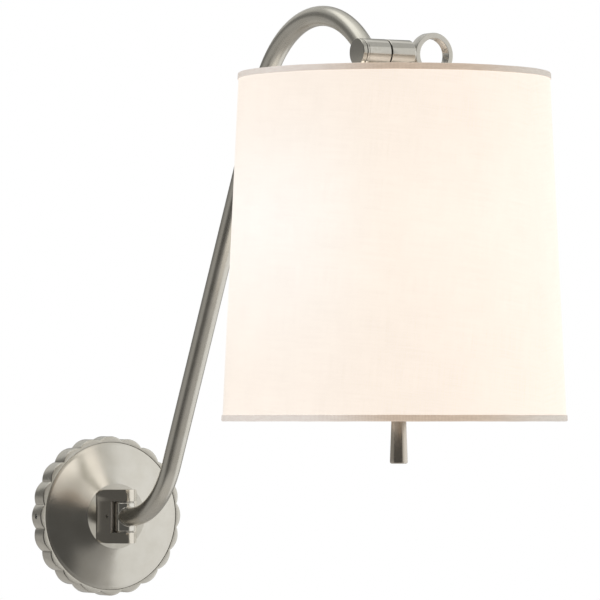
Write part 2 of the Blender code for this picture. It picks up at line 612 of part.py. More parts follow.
def build_shade_cover():
    """The cover is one cone of lined fabric; a ribbon binds its upper and lower edges."""
    skin = TRIM_WALL + GAP
    top, low = SHADE_TOP_Z - 0.2 * MM, SHADE_BOTTOM_Z + 0.2 * MM
    cloth = finish("shade_linen", (0.93, 0.87, 0.78), 0.85, 0.0)
    turned("shade_fabric",
           [(shade_radius(top) - skin - FABRIC_WALL, top), (shade_radius(top) - skin, top),
            (shade_radius(low) - skin, low), (shade_radius(low) - skin - FABRIC_WALL, low)],
           72, cloth, HEAD_PIVOT, head())
    ribbon = finish("shade_ribbon", (0.62, 0.55, 0.48), 0.8, 0.0)
    for name, high in (("top_trim", SHADE_TOP_Z), ("bottom_trim", SHADE_BOTTOM_Z + TRIM_HEIGHT)):
        base = high - TRIM_HEIGHT
        turned(name,
               [(shade_radius(high) - TRIM_WALL, high), (shade_radius(high), high),
                (shade_radius(base), base), (shade_radius(base) - TRIM_WALL, base)],
               72, ribbon, HEAD_PIVOT, head())


def build_harp():
    """Two bent legs carry the lamp holder below the upper plate, one each side of the bulb."""
    for name, side in (("harp_leg_left", -1), ("harp_leg_right", 1)):
        knots = [(13.0, 289.2), (14.5, 284.0), (25.0, 274.0), (35.0, 258.0), (38.0, 236.0), (38.0, 200.0), (38.0, 165.0),
                 (36.5, 140.0), (28.5, 122.0), (24.4, 115.0), (24.0, 110.9)]
        route = smooth_route([head(side * x * MM, 0.0, z * MM) for x, z in knots], 20)
        wire(name, route, LEG_R, 8, mat=brass(name), parent=HEAD_PIVOT)
    plate("harp_base_plate", [rounded_rectangle(28 * MM, 7 * MM, 6 * MM), circle(5.0 * MM, 20)], 0.8 * MM,
          brass("harp_base_plate"), HEAD_PIVOT, head(z=109.8 * MM))


def build_socket():
    sleeve("socket_nipple", 4.7 * MM, 3.2 * MM, 105.0 * MM, 116.0 * MM, 20, mat=brass("socket_nipple"), parent=HEAD_PIVOT, at=head())
    cup = [(5.0, 112.2), (5.0, 111.0), (12.0, 111.0), (17.0, 113.5), (18.6, 119.0), (18.6, 151.0), (17.5, 151.0),
           (17.5, 119.4), (16.2, 114.8), (11.6, 112.2)]
    turned("socket_cup", [(r * MM, z * MM) for r, z in cup], 24, brass("socket_cup"), HEAD_PIVOT, head())
    body = [(5.0, 116.5), (5.0, 112.6), (11.4, 112.6), (15.6, 115.2), (17.0, 119.6), (17.0, 149.0), (14.4, 149.0), (14.4, 121.0),
            (5.0, 121.0)]
    turned("socket_insulator", [(r * MM, z * MM) for r, z in body], 24, finish("socket_porcelain", (0.85, 0.84, 0.8), 0.3, 0.0),
           HEAD_PIVOT, head())
    shell = [(14.1, 147.0), (14.1, 121.3), (8.0, 121.3), (8.0, 121.8), (13.6, 121.8), (13.6, 147.0)]
    turned("socket_screw_shell", [(r * MM, z * MM) for r, z in shell], 20, brass("socket_screw_shell"), HEAD_PIVOT, head())
    rod("socket_contact", 4.0 * MM, 121.4 * MM, 122.2 * MM, 16, mat=brass("socket_contact"), parent=HEAD_PIVOT, at=head())


def build_bulb():
    cap = [(0.0, 122.6), (4.6, 122.6), (7.5, 124.8), (12.9, 126.6), (13.1, 127.0), (13.1, 147.0), (12.5, 147.0), (12.5, 128.0),
           (0.0, 128.0)]
    turned("bulb_cap", [(r * MM, z * MM) for r, z in cap], 20, steel("bulb_cap"), HEAD_PIVOT, head())

    def outline(wall):
        points = [(0.0, BULB_CENTRE_Z + BULB_R - wall)]
        for i in range(1, 6):
            a = math.radians(90.0 * i / 5)
            points.append(((BULB_R - wall) * math.sin(a), BULB_CENTRE_Z + (BULB_R - wall) * math.cos(a)))
        neck = 12.9 * MM
        for i in range(1, 7):
            t = i / 6
            points.append((neck - wall + (BULB_R - neck) * (0.5 + 0.5 * math.cos(math.pi * t)),
                           BULB_CENTRE_Z + (BULB_NECK_Z - BULB_CENTRE_Z) * t))
        return points

    glass = outline(0.0) + outline(0.8 * MM)[::-1]
    turned("bulb_glass", glass, 20, finish("bulb_opal", (1.0, 0.96, 0.9), 0.25, 0.0), HEAD_PIVOT, head())


def build_dimmer():
    body = [(0.0, 108.6), (16.0, 108.6), (17.0, 107.6), (17.0, 89.0), (16.0, 88.0), (3.3, 88.0), (3.3, 104.0), (0.0, 104.0)]
    aside = KNOB_X - SHADE_X
    can = turned("dimmer_body", [(r * MM, z * MM) for r, z in body], 24, plastic("dimmer", (0.06, 0.06, 0.06)), HEAD_PIVOT, head(aside))
    cut(can, rod("dimmer_nipple_hole", 5.0 * MM, 104.7 * MM, 112.0 * MM, 20, at=head(), cutter=True))
    sleeve("dimmer_bushing", 4.6 * MM, 3.3 * MM, 80.8 * MM, 87.7 * MM, 20, mat=brass("dimmer_bushing"), parent=HEAD_PIVOT,
           at=head(aside))
    plate("dimmer_nut", [hexagon(13 * MM), circle(4.9 * MM, 20)], 1.1 * MM, brass("dimmer_nut"), HEAD_PIVOT,
          head(aside, z=85.6 * MM))
    rod("dimmer_shaft", 3.0 * MM, 47.3 * MM, 103.6 * MM, 16, 0.3 * MM, mat=plastic("dimmer_shaft", (0.8, 0.8, 0.78)),
        parent=KNOB_PIVOT, at=head(aside))
    low, high = KNOB_BOTTOM_Z, KNOB_TOP_Z
    knob = [(0.0, low), (3.2 * MM, low + 0.15 * MM), (4.9 * MM, low + 0.7 * MM), (5.7 * MM, low + 1.5 * MM),
            (KNOB_BOTTOM_R, low + 2.6 * MM), (KNOB_TOP_R + 0.25 * MM, high - 6 * MM), (KNOB_TOP_R, high),
            (3.3 * MM, high), (3.3 * MM, 47.0 * MM), (0.0, 47.0 * MM)]
    turned("dimmer_knob", knob, 28, satin("dimmer_knob"), KNOB_PIVOT, head(aside))


def build_socket_wire():
    """Flexible lead from the nipple, tied down beside the left leg to the dimmer's side."""
    knots = [(0.0, 0.0, 279.5), (-2.0, -3.5, 275.5), (-14.0, -6.0, 272.0), (-26.0, -5.6, 266.0), (-35.5, -5.2, 252.0),
             (-38.0, -5.0, 232.0), (-38.0, -5.0, 200.0), (-38.0, -5.0, 165.0), (-37.5, -5.0, 140.0), (-34.5, -5.0, 122.0),
             (-33.0, -4.5, 108.0), (-25.0, -2.5, 99.5), (-15.4, 0.0, 98.0)]
    route = smooth_route([head(x * MM, y * MM, z * MM) for x, y, z in knots], 26)
    wire("socket_wire", route, 1.4 * MM, 8, mat=plastic("socket_wire", (0.75, 0.73, 0.68)), parent=HEAD_PIVOT)


build_mounting_strap()
build_wall_hardware()
build_scalloped_rim()
build_backplate_dome()
build_hinge_bracket()
build_hinge_inside()
build_canopy_leads()
build_arm()
build_finger_ring()
build_knuckle_head()
build_shade_frame()
build_shade_cover()
build_harp()
build_socket()
build_bulb()
build_dimmer()
build_socket_wire()

for part in PARTS.objects:
    if part.type == "MESH" and not any(m.type == "SCREW" for m in part.modifiers):
        smooth(part.data)
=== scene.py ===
import math

import bmesh
import bpy
from mathutils import Matrix, Vector


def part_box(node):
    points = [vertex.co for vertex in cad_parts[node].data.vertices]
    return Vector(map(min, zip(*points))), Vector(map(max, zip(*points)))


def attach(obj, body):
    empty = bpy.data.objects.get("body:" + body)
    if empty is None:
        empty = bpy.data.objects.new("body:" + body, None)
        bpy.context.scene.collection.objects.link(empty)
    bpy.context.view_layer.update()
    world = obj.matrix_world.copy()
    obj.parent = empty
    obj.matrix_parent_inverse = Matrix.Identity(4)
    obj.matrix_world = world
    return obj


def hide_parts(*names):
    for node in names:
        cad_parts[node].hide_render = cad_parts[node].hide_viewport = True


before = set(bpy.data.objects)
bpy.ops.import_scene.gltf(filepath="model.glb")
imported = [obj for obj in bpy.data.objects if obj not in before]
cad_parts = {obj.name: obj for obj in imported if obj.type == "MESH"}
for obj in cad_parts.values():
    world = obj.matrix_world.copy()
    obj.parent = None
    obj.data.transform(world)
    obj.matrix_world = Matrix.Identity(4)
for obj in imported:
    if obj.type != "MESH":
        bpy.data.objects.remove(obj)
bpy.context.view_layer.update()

MM = 0.001
TAU = 2.0 * math.pi


# ------------------------------------------------------------------ places, read from the frame
def middle(node):
    low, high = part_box(node)
    return (low + high) / 2.0


HINGE_Y = middle("wall_barrel").y
KNUCKLE_Y = middle("knuckle_cap").y
KNUCKLE_Z = middle("knuckle_cap").z
SHADE_X = middle("shade_fabric").x
RING_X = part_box("finger_ring")[1].x - 14.7 * MM
KNOB_X = middle("dimmer_knob").x
SHADE_TOP_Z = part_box("top_trim")[1].z
SHADE_BOTTOM_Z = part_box("bottom_trim")[0].z
SHADE_TOP_R = 103.5 * MM
SHADE_BOTTOM_R = 114.3 * MM
TUBE_R = 6.75 * MM
BARREL_R = 7.1 * MM
KNUCKLE_R = 9.2 * MM

FACE_ROOM = Matrix.Rotation(math.pi / 2, 4, "X")      # local +Z becomes -Y
ALONG_X = Matrix.Rotation(math.pi / 2, 4, "Y")        # local +Z becomes +X
SHADE_AXIS = Matrix.Translation((SHADE_X, KNUCKLE_Y, 0.0))
KNOB_AXIS = Matrix.Translation((KNOB_X, KNUCKLE_Y, 0.0))
KNUCKLE_AXIS = Matrix.Translation((0.0, KNUCKLE_Y, KNUCKLE_Z)) @ ALONG_X
HINGE_AXIS = Matrix.Translation((0.0, HINGE_Y, 0.0))


# ------------------------------------------------------------------ camera
def make_camera():
    azimuth = math.radians(-30.54)
    sight = Vector((-math.sin(azimuth), math.cos(azimuth), 0.0))
    across = Vector((math.cos(azimuth), math.sin(azimuth), 0.0))
    focal = 5151.5                                       # pixels, for a 600 pixel wide image
    distance = 3.4
    target = Vector((18.3, -371.0, 69.2)) * MM
    place = target - sight * distance - across * (93.9 / focal * distance)
    data = bpy.data.cameras.new("photo_camera")
    data.sensor_width = 36.0
    data.lens = focal / 600.0 * 36.0
    data.clip_start = 0.05
    data.clip_end = 60.0
    camera = bpy.data.objects.new("photo_camera", data)
    bpy.context.scene.collection.objects.link(camera)
    up = math.atan(119.5 / focal)
    forward = sight * math.cos(up) + Vector((0, 0, 1)) * math.sin(up)
    camera.location = place
    camera.rotation_euler = forward.to_track_quat("-Z", "Y").to_euler()
    bpy.context.scene.camera = camera
    return camera


make_camera()


# ------------------------------------------------------------------ node helpers
def add(tree, kind, inputs=None, **props):
    made = tree.nodes.new(kind)
    for key, value in props.items():
        setattr(made, key, value)
    for key, value in (inputs or {}).items():
        if isinstance(value, bpy.types.NodeSocket):
            tree.links.new(value, made.inputs[key])
        else:
            made.inputs[key].default_value = value
    return made


def sums(tree, operation, a, b=0.0, c=0.0, clamp=False):
    made = tree.nodes.new("ShaderNodeMath")
    made.operation = operation
    made.use_clamp = clamp
    for socket, value in zip(made.inputs, (a, b, c)):
        if isinstance(value, bpy.types.NodeSocket):
            tree.links.new(value, socket)
        else:
            socket.default_value = value
    return made.outputs[0]


def spread(tree, value, low, high, to_low=0.0, to_high=1.0, kind="SMOOTHSTEP"):
    made = add(tree, "ShaderNodeMapRange", interpolation_type=kind)
    tree.links.new(value, made.inputs["Value"])
    for key, number in (("From Min", low), ("From Max", high), ("To Min", to_low), ("To Max", to_high)):
        if isinstance(number, bpy.types.NodeSocket):
            tree.links.new(number, made.inputs[key])
        else:
            made.inputs[key].default_value = number
    return made.outputs["Result"]


def blend_colour(tree, factor, a, b):
    made = add(tree, "ShaderNodeMix", data_type="RGBA")
    for socket, value in ((made.inputs[0], factor), (made.inputs[6], a), (made.inputs[7], b)):
        if isinstance(value, bpy.types.NodeSocket):
            tree.links.new(value, socket)
        elif isinstance(value, (int, float)):
            socket.default_value = value
        else:
            socket.default_value = (*value, 1.0)
    return made.outputs[2]


def noise(tree, vector, scale, detail=3.0, roughness=0.55, distortion=0.0):
    made = add(tree, "ShaderNodeTexNoise",
               {"Vector": vector, "Scale": scale, "Detail": detail, "Roughness": roughness, "Distortion": distortion})
    return made.outputs["Fac"]


def stretched(tree, vector, scale):
    return add(tree, "ShaderNodeVectorMath", {0: vector, 1: scale}, operation="MULTIPLY").outputs[0]


def new_material(name):
    mat = bpy.data.materials.new(name)
    mat.use_nodes = True
    return mat, mat.node_tree, mat.node_tree.nodes["Principled BSDF"]


def relief(tree, shader, height, strength, distance):
    bump = add(tree, "ShaderNodeBump", {"Height": height, "Strength": strength, "Distance": distance})
    tree.links.new(bump.outputs["Normal"], shader.inputs["Normal"])
    return bump


def place_of(tree):
    return add(tree, "ShaderNodeTexCoord").outputs["Object"]


# ------------------------------------------------------------------ materials
def metal(name, colour, rough, grain="grain", polish=0.5, blotch=0.06, line_depth=0.6, own_mesh=True):
    """Plated metal: fine directional grain, soft blotches of finish, edges rubbed brighter."""
    mat, tree, shader = new_material(name)
    where = place_of(tree)
    if grain == "grain":
        lines_at = add(tree, "ShaderNodeAttribute", attribute_name="grain").outputs["Vector"]
    elif grain == "x":
        lines_at = stretched(tree, where, (160.0, 9000.0, 9000.0))
    elif grain == "z":
        lines_at = stretched(tree, where, (9000.0, 9000.0, 160.0))
    else:
        lines_at = stretched(tree, where, (5200.0, 5200.0, 5200.0))
    lines = noise(tree, lines_at, 1.0, 4.0, 0.62)
    clouds = noise(tree, where, 62.0, 4.0, 0.6)
    spots = noise(tree, where, 900.0, 3.0, 0.6)
    if own_mesh:
        edge = add(tree, "ShaderNodeAttribute", attribute_name="edge").outputs["Fac"]
    else:
        edge = spread(tree, add(tree, "ShaderNodeNewGeometry").outputs["Pointiness"], 0.52, 0.60)
    worn = sums(tree, "MULTIPLY", edge, spread(tree, noise(tree, where, 340.0, 3.0, 0.7), 0.35, 0.62))
    low, high = rough
    roughness = spread(tree, sums(tree, "ADD", sums(tree, "MULTIPLY", lines, 0.55), sums(tree, "MULTIPLY", clouds, 0.45)),
                       0.32, 0.68, low, high, "LINEAR")
    roughness = sums(tree, "SUBTRACT", roughness, sums(tree, "MULTIPLY", worn, (low + high) * 0.5 * polish), clamp=True)
    tree.links.new(roughness, shader.inputs["Roughness"])
    deep = tuple(c * (1.0 - blotch) * w for c, w in zip(colour, (1.0, 0.992, 0.975)))
    tone = blend_colour(tree, spread(tree, clouds, 0.30, 0.70), deep, colour)
    tone = blend_colour(tree, spread(tree, spots, 0.60, 0.78, 0.0, 0.22), tone, tuple(c * 0.84 for c in colour))
    tone = blend_colour(tree, sums(tree, "MULTIPLY", worn, 0.55), tone, tuple(min(1.0, c * 1.14) for c in colour))
    tree.links.new(tone, shader.inputs["Base Color"])
    shader.inputs["Metallic"].default_value = 1.0
    relief(tree, shader, sums(tree, "ADD", sums(tree, "MULTIPLY", lines, line_depth), sums(tree, "MULTIPLY", spots, 0.25)),
           0.22, 0.00003)
    return mat


SATIN = (0.665, 0.640, 0.585)
BRIGHT = (0.735, 0.712, 0.665)


def satin_nickel(name, grain="grain", rough=(0.24, 0.33)):
    return metal(name, SATIN, rough, grain)


def bright_nickel(name, grain="grain", rough=(0.085, 0.15)):
    return metal(name, BRIGHT, rough, grain, polish=0.35, blotch=0.03, line_depth=0.35)


def clevis_nickel(name):
    """Bright nickel, with the milled faces that clear the swinging tube left matt, and tinted pale there as a painted
    highlight.
    """
    mat = metal(name, (0.735, 0.690, 0.615), (0.13, 0.20), "none", polish=0.35, blotch=0.03, line_depth=0.35)
    tree = mat.node_tree
    shader = next(node for node in tree.nodes if node.type == "BSDF_PRINCIPLED")
    split = add(tree, "ShaderNodeSeparateXYZ", {0: place_of(tree)})
    behind = sums(tree, "SUBTRACT", split.outputs["Y"], -0.034)
    far = sums(tree, "SQRT", sums(tree, "ADD", sums(tree, "MULTIPLY", split.outputs["X"], split.outputs["X"]),
                                  sums(tree, "MULTIPLY", behind, behind)))
    level = sums(tree, "ABSOLUTE", sums(tree, "ADD", split.outputs["Z"], 0.0004))
    milled = sums(tree, "MULTIPLY", spread(tree, far, 0.01035, 0.0098), spread(tree, level, 0.01125, 0.01105))
    rough = shader.inputs["Roughness"].links[0].from_socket
    tone = shader.inputs["Base Color"].links[0].from_socket
    tree.links.new(spread(tree, milled, 0.0, 1.0, rough, 0.62, "LINEAR"), shader.inputs["Roughness"])
    # painted highlight: the milled faces are tinted pale; their higher roughness stands for a real matt finish
    tree.links.new(blend_colour(tree, milled, tone, (0.93, 0.90, 0.85)), shader.inputs["Base Color"])
    return mat


def brass_metal(name, grain="grain", own_mesh=True):
    return metal(name, (0.745, 0.560, 0.265), (0.20, 0.36), grain, blotch=0.16, own_mesh=own_mesh)


def zinc_metal(name, grain="none", own_mesh=True):
    return metal(name, (0.60, 0.615, 0.625), (0.28, 0.46), grain, blotch=0.20, own_mesh=own_mesh)


def plastic(name, colour, rough=0.42, dust=0.12, pitch=2600.0, sheen=0.0):
    """Moulded plastic or vinyl: a fine spark-eroded skin, slight colour drift and dust."""
    mat, tree, shader = new_material(name)
    where = place_of(tree)
    skin = noise(tree, where, pitch, 2.0, 0.5)
    drift = noise(tree, where, 95.0, 4.0, 0.6)
    tone = blend_colour(tree, spread(tree, drift, 0.3, 0.7), tuple(c * 0.86 for c in colour), colour)
    tone = blend_colour(tree, spread(tree, noise(tree, where, 620.0, 3.0, 0.7), 0.58, 0.80, 0.0, dust), tone, (0.46, 0.44, 0.40))
    tree.links.new(tone, shader.inputs["Base Color"])
    tree.links.new(spread(tree, drift, 0.3, 0.7, rough - 0.07, rough + 0.10, "LINEAR"), shader.inputs["Roughness"])
    shader.inputs["Sheen Weight"].default_value = sheen
    relief(tree, shader, skin, 0.30, 0.00004)
    return mat


def porcelain(name):
    mat, tree, shader = new_material(name)
    where = place_of(tree)
    cloud = noise(tree, where, 140.0, 3.0, 0.6)
    speck = noise(tree, where, 2300.0, 1.0, 0.5)
    tone = blend_colour(tree, spread(tree, cloud, 0.3, 0.7), (0.80, 0.775, 0.72), (0.88, 0.865, 0.82))
    tone = blend_colour(tree, spread(tree, speck, 0.74, 0.80, 0.0, 0.7), tone, (0.36, 0.31, 0.25))
    tree.links.new(tone, shader.inputs["Base Color"])
    tree.links.new(spread(tree, cloud, 0.3, 0.7, 0.16, 0.30, "LINEAR"), shader.inputs["Roughness"])
    shader.inputs["Coat Weight"].default_value = 0.5
    shader.inputs["Coat Roughness"].default_value = 0.08
    relief(tree, shader, noise(tree, where, 420.0, 2.0, 0.5), 0.15, 0.0002)
    return mat


def opal_glass(name):
    """Etched opal bulb, lit: brightest round its middle, a touch dimmer toward the neck."""
    mat, tree, shader = new_material(name)
    where = place_of(tree)
    height = add(tree, "ShaderNodeSeparateXYZ", {0: where}).outputs["Z"]
    cloud = noise(tree, where, 55.0, 3.0, 0.55)
    grain = noise(tree, where, 2400.0, 2.0, 0.5)
    tone = blend_colour(tree, spread(tree, cloud, 0.3, 0.7), (0.93, 0.90, 0.85), (0.97, 0.955, 0.92))
    tree.links.new(tone, shader.inputs["Base Color"])
    tree.links.new(spread(tree, grain, 0.3, 0.7, 0.26, 0.42, "LINEAR"), shader.inputs["Roughness"])
    lit = blend_colour(tree, spread(tree, height, 0.150, 0.205), (1.0, 0.82, 0.66), (1.0, 0.90, 0.80))
    tree.links.new(lit, shader.inputs["Emission Color"])
    strength = spread(tree, height, 0.146, 0.212, 1.0, 2.3)
    tree.links.new(sums(tree, "MULTIPLY", strength, spread(tree, cloud, 0.2, 0.8, 0.94, 1.06, "LINEAR")),
                   shader.inputs["Emission Strength"])
    relief(tree, shader, grain, 0.2, 0.00003)
    return mat


def weave(tree, warp_pitch, weft_pitch):
    """Plain weave from the cloth's own flat coordinates, in millimetres: height, thread tone and slubs."""
    flat = add(tree, "ShaderNodeAttribute", attribute_name="cloth").outputs["Vector"]
    wander = add(tree, "ShaderNodeTexNoise", {"Vector": flat, "Scale": 0.16, "Detail": 3.0, "Roughness": 0.6})
    shift = stretched(tree, add(tree, "ShaderNodeVectorMath", {0: wander.outputs["Color"], 1: (0.5, 0.5, 0.5)},
                                operation="SUBTRACT").outputs[0], (0.9, 0.9, 0.0))
    flat = add(tree, "ShaderNodeVectorMath", {0: flat, 1: shift}, operation="ADD").outputs[0]
    split = add(tree, "ShaderNodeSeparateXYZ", {0: flat})
    x, y = split.outputs["X"], split.outputs["Y"]
    across = sums(tree, "SINE", sums(tree, "MULTIPLY", x, math.pi / warp_pitch))
    along = sums(tree, "SINE", sums(tree, "MULTIPLY", y, math.pi / weft_pitch))
    over = spread(tree, sums(tree, "MULTIPLY", across, along), -0.25, 0.25)
    warp = noise(tree, stretched(tree, flat, (1.0 / warp_pitch, 0.035, 1.0)), 1.0, 2.0, 0.6)
    weft = noise(tree, stretched(tree, flat, (0.03, 1.0 / weft_pitch, 1.0)), 1.0, 2.0, 0.6)
    up = sums(tree, "MULTIPLY", sums(tree, "ABSOLUTE", across), spread(tree, warp, 0.25, 0.75, 0.65, 1.15, "LINEAR"))
    side = sums(tree, "MULTIPLY", sums(tree, "ABSOLUTE", along), spread(tree, weft, 0.25, 0.75, 0.60, 1.20, "LINEAR"))
    keep = sums(tree, "SUBTRACT", 1.0, over)
    height = sums(tree, "ADD", sums(tree, "MULTIPLY", up, over), sums(tree, "MULTIPLY", side, keep))
    slub = sums(tree, "ADD", sums(tree, "MULTIPLY", warp, 0.5), sums(tree, "MULTIPLY", weft, 0.5))
    return flat, x, y, height, slub


SHADE_GLOW = dict(left=(1.0, 0.955, 0.910), middle=(1.0, 0.893, 0.792), right=(0.99, 0.858, 0.765), strength=0.905)


def linen(name):
    """Laminated linen lit from inside. Glow is a gradient of the shade's own height and side."""
    mat, tree, shader = new_material(name)
    flat, x, y, height, slub = weave(tree, 0.62, 0.70)
    where = place_of(tree)
    split = add(tree, "ShaderNodeSeparateXYZ", {0: where})
    thread = spread(tree, slub, 0.30, 0.70)
    body = blend_colour(tree, thread, (0.33, 0.31, 0.275), (0.40, 0.38, 0.345))
    # painted shade: the cloth is darkened where the weave is low, between the threads
    body = blend_colour(tree, spread(tree, height, 0.0, 0.5, 0.30, 0.0), body, (0.22, 0.20, 0.17))
    tree.links.new(body, shader.inputs["Base Color"])
    shader.inputs["Roughness"].default_value = 0.86
    shader.inputs["Sheen Weight"].default_value = 0.12
    shader.inputs["Sheen Roughness"].default_value = 0.45
    shader.inputs["Specular IOR Level"].default_value = 0.22
    across = sums(tree, "SUBTRACT", split.outputs["X"], SHADE_X)
    tall = split.outputs["Z"]
    low_side = spread(tree, tall, SHADE_BOTTOM_Z + 0.012, SHADE_BOTTOM_Z + 0.150)
    high_side = spread(tree, tall, SHADE_TOP_Z - 0.004, SHADE_TOP_Z - 0.105)
    glow = blend_colour(tree, spread(tree, across, -0.116, -0.056), SHADE_GLOW["left"], SHADE_GLOW["middle"])
    glow = blend_colour(tree, spread(tree, across, -0.010, 0.066), glow, SHADE_GLOW["right"])
    warm = sums(tree, "MULTIPLY", low_side, high_side)
    rear = spread(tree, sums(tree, "SUBTRACT", split.outputs["Y"], KNUCKLE_Y), 0.030, 0.100)
    glow = blend_colour(tree, rear, blend_colour(tree, sums(tree, "MULTIPLY_ADD", warm, 0.7, 0.3), (1.0, 0.87, 0.765), glow),
                        (1.0, 0.965, 0.915))
    tree.links.new(glow, shader.inputs["Emission Color"])
    mottled = spread(tree, noise(tree, where, 34.0, 3.0, 0.5), 0.3, 0.7, 0.985, 1.015, "LINEAR")
    threads = spread(tree, sums(tree, "ADD", sums(tree, "MULTIPLY", height, 0.5), slub), 0.35, 1.0, 0.94, 1.05, "LINEAR")
    power = sums(tree, "MULTIPLY", sums(tree, "MULTIPLY", mottled, threads), SHADE_GLOW["strength"])
    power = sums(tree, "MULTIPLY", power, spread(tree, warm, 0.0, 1.0, 0.965, 1.0, "LINEAR"))
    boost = sums(tree, "MULTIPLY", spread(tree, tall, SHADE_BOTTOM_Z + 0.010, SHADE_BOTTOM_Z + 0.088, 0.56, 1.30),
                 spread(tree, tall, SHADE_BOTTOM_Z + 0.085, SHADE_BOTTOM_Z + 0.175, 1.0, 0.72))
    power = sums(tree, "MULTIPLY", power, spread(tree, rear, 0.0, 1.0, 1.0, boost, "LINEAR"))
    tree.links.new(power, shader.inputs["Emission Strength"])
    relief(tree, shader, height, 0.45, 0.00012)
    return mat


def lining(name):
    """White laminate inside the shade, with the linen's threads just telegraphing through, and a painted glow of the
    bulb's light on it, brightest around the bulb's height.
    """
    mat, tree, shader = new_material(name)
    flat, x, y, height, slub = weave(tree, 0.62, 0.70)
    where = place_of(tree)
    tall = add(tree, "ShaderNodeSeparateXYZ", {0: where}).outputs["Z"]
    tone = blend_colour(tree, spread(tree, slub, 0.3, 0.7), (0.44, 0.42, 0.39), (0.52, 0.50, 0.47))
    tree.links.new(tone, shader.inputs["Base Color"])
    tree.links.new(spread(tree, noise(tree, where, 70.0, 3.0, 0.6), 0.3, 0.7, 0.48, 0.62, "LINEAR"), shader.inputs["Roughness"])
    # painted light: an emission on the lining that stands in for the bulb's light, rising from 0.075 m, brightest
    # between 0.20 and 0.225 m, gone at 0.30 m
    near = sums(tree, "MULTIPLY", spread(tree, tall, 0.075, 0.200), spread(tree, tall, 0.300, 0.225))
    tree.links.new(blend_colour(tree, near, (1.0, 0.86, 0.76), (1.0, 0.92, 0.85)), shader.inputs["Emission Color"])
    tree.links.new(sums(tree, "MULTIPLY", spread(tree, near, 0.0, 1.0, 0.05, 0.46, "LINEAR"),
                        spread(tree, slub, 0.3, 0.7, 0.96, 1.04, "LINEAR")), shader.inputs["Emission Strength"])
    relief(tree, shader, height, 0.16, 0.00006)
    return mat


def ribbon(name):
    """Grosgrain tape: ribs across it, a firmer edge on each side, lit a little from behind."""
    mat, tree, shader = new_material(name)
    where = place_of(tree)
    flat = add(tree, "ShaderNodeAttribute", attribute_name="cloth").outputs["Vector"]
    split = add(tree, "ShaderNodeSeparateXYZ", {0: flat})
    ribs = sums(tree, "ABSOLUTE", sums(tree, "SINE", sums(tree, "MULTIPLY", split.outputs["X"], math.pi / 0.85)))
    cross = sums(tree, "ABSOLUTE", sums(tree, "SINE", sums(tree, "MULTIPLY", split.outputs["Y"], math.pi / 0.34)))
    height = sums(tree, "ADD", ribs, sums(tree, "MULTIPLY", cross, 0.28))
    drift = noise(tree, stretched(tree, flat, (0.12, 0.6, 1.0)), 1.0, 4.0, 0.65)
    tone = blend_colour(tree, spread(tree, drift, 0.3, 0.7), (0.395, 0.335, 0.275), (0.475, 0.415, 0.350))
    # painted shade: the tape is darkened in the valleys between its ribs
    tone = blend_colour(tree, spread(tree, ribs, 0.0, 0.5, 0.55, 0.0), tone, (0.23, 0.19, 0.15))
    tree.links.new(tone, shader.inputs["Base Color"])
    shader.inputs["Roughness"].default_value = 0.62
    shader.inputs["Sheen Weight"].default_value = 0.35
    shader.inputs["Sheen Roughness"].default_value = 0.35
    across = sums(tree, "SUBTRACT", add(tree, "ShaderNodeSeparateXYZ", {0: where}).outputs["X"], SHADE_X)
    lit = blend_colour(tree, spread(tree, across, -0.106, -0.056), (0.62, 0.57, 0.54), (0.45, 0.35, 0.275))
    lit = blend_colour(tree, spread(tree, across, -0.020, 0.062), lit, (0.44, 0.41, 0.38))
    tree.links.new(lit, shader.inputs["Emission Color"])
    fine = sums(tree, "MULTIPLY", spread(tree, ribs, 0.0, 1.0, 0.84, 1.08, "LINEAR"), spread(tree, drift, 0.3, 0.7, 0.96, 1.04, "LINEAR"))
    tree.links.new(fine, shader.inputs["Emission Strength"])
    relief(tree, shader, height, 0.6, 0.00022)
    return mat


# ------------------------------------------------------------------ shapes
def fillet(points, radius, loop=False, segments=4):
    """Rounds each corner of a profile. A third number in a point is its own radius."""
    out = []
    count = len(points)
    for i, point in enumerate(points):
        own = point[2] if len(point) > 2 else radius
        if own <= 0.0 or point[0] < 1e-9 or (not loop and i in (0, count - 1)):
            out.append(tuple(point[:2]))
            continue
        here = Vector(point[:2])
        a = Vector(points[i - 1][:2]) - here
        b = Vector(points[(i + 1) % count][:2]) - here
        reach_a, reach_b = a.length, b.length
        a.normalize()
        b.normalize()
        corner = a.angle(b)
        if corner > math.pi - 0.03:
            out.append(tuple(here))
            continue
        back = min(own / math.tan(corner / 2), reach_a * 0.48, reach_b * 0.48)
        own = back * math.tan(corner / 2)
        centre = here + (a + b).normalized() * (own / math.sin(corner / 2))
        start, end = here + a * back - centre, here + b * back - centre
        first, last = math.atan2(start.y, start.x), math.atan2(end.y, end.x)
        turn = (last - first + math.pi) % TAU - math.pi
        for k in range(segments + 1):
            angle = first + turn * k / segments
            out.append((centre.x + own * math.cos(angle), centre.y + own * math.sin(angle)))
    return out


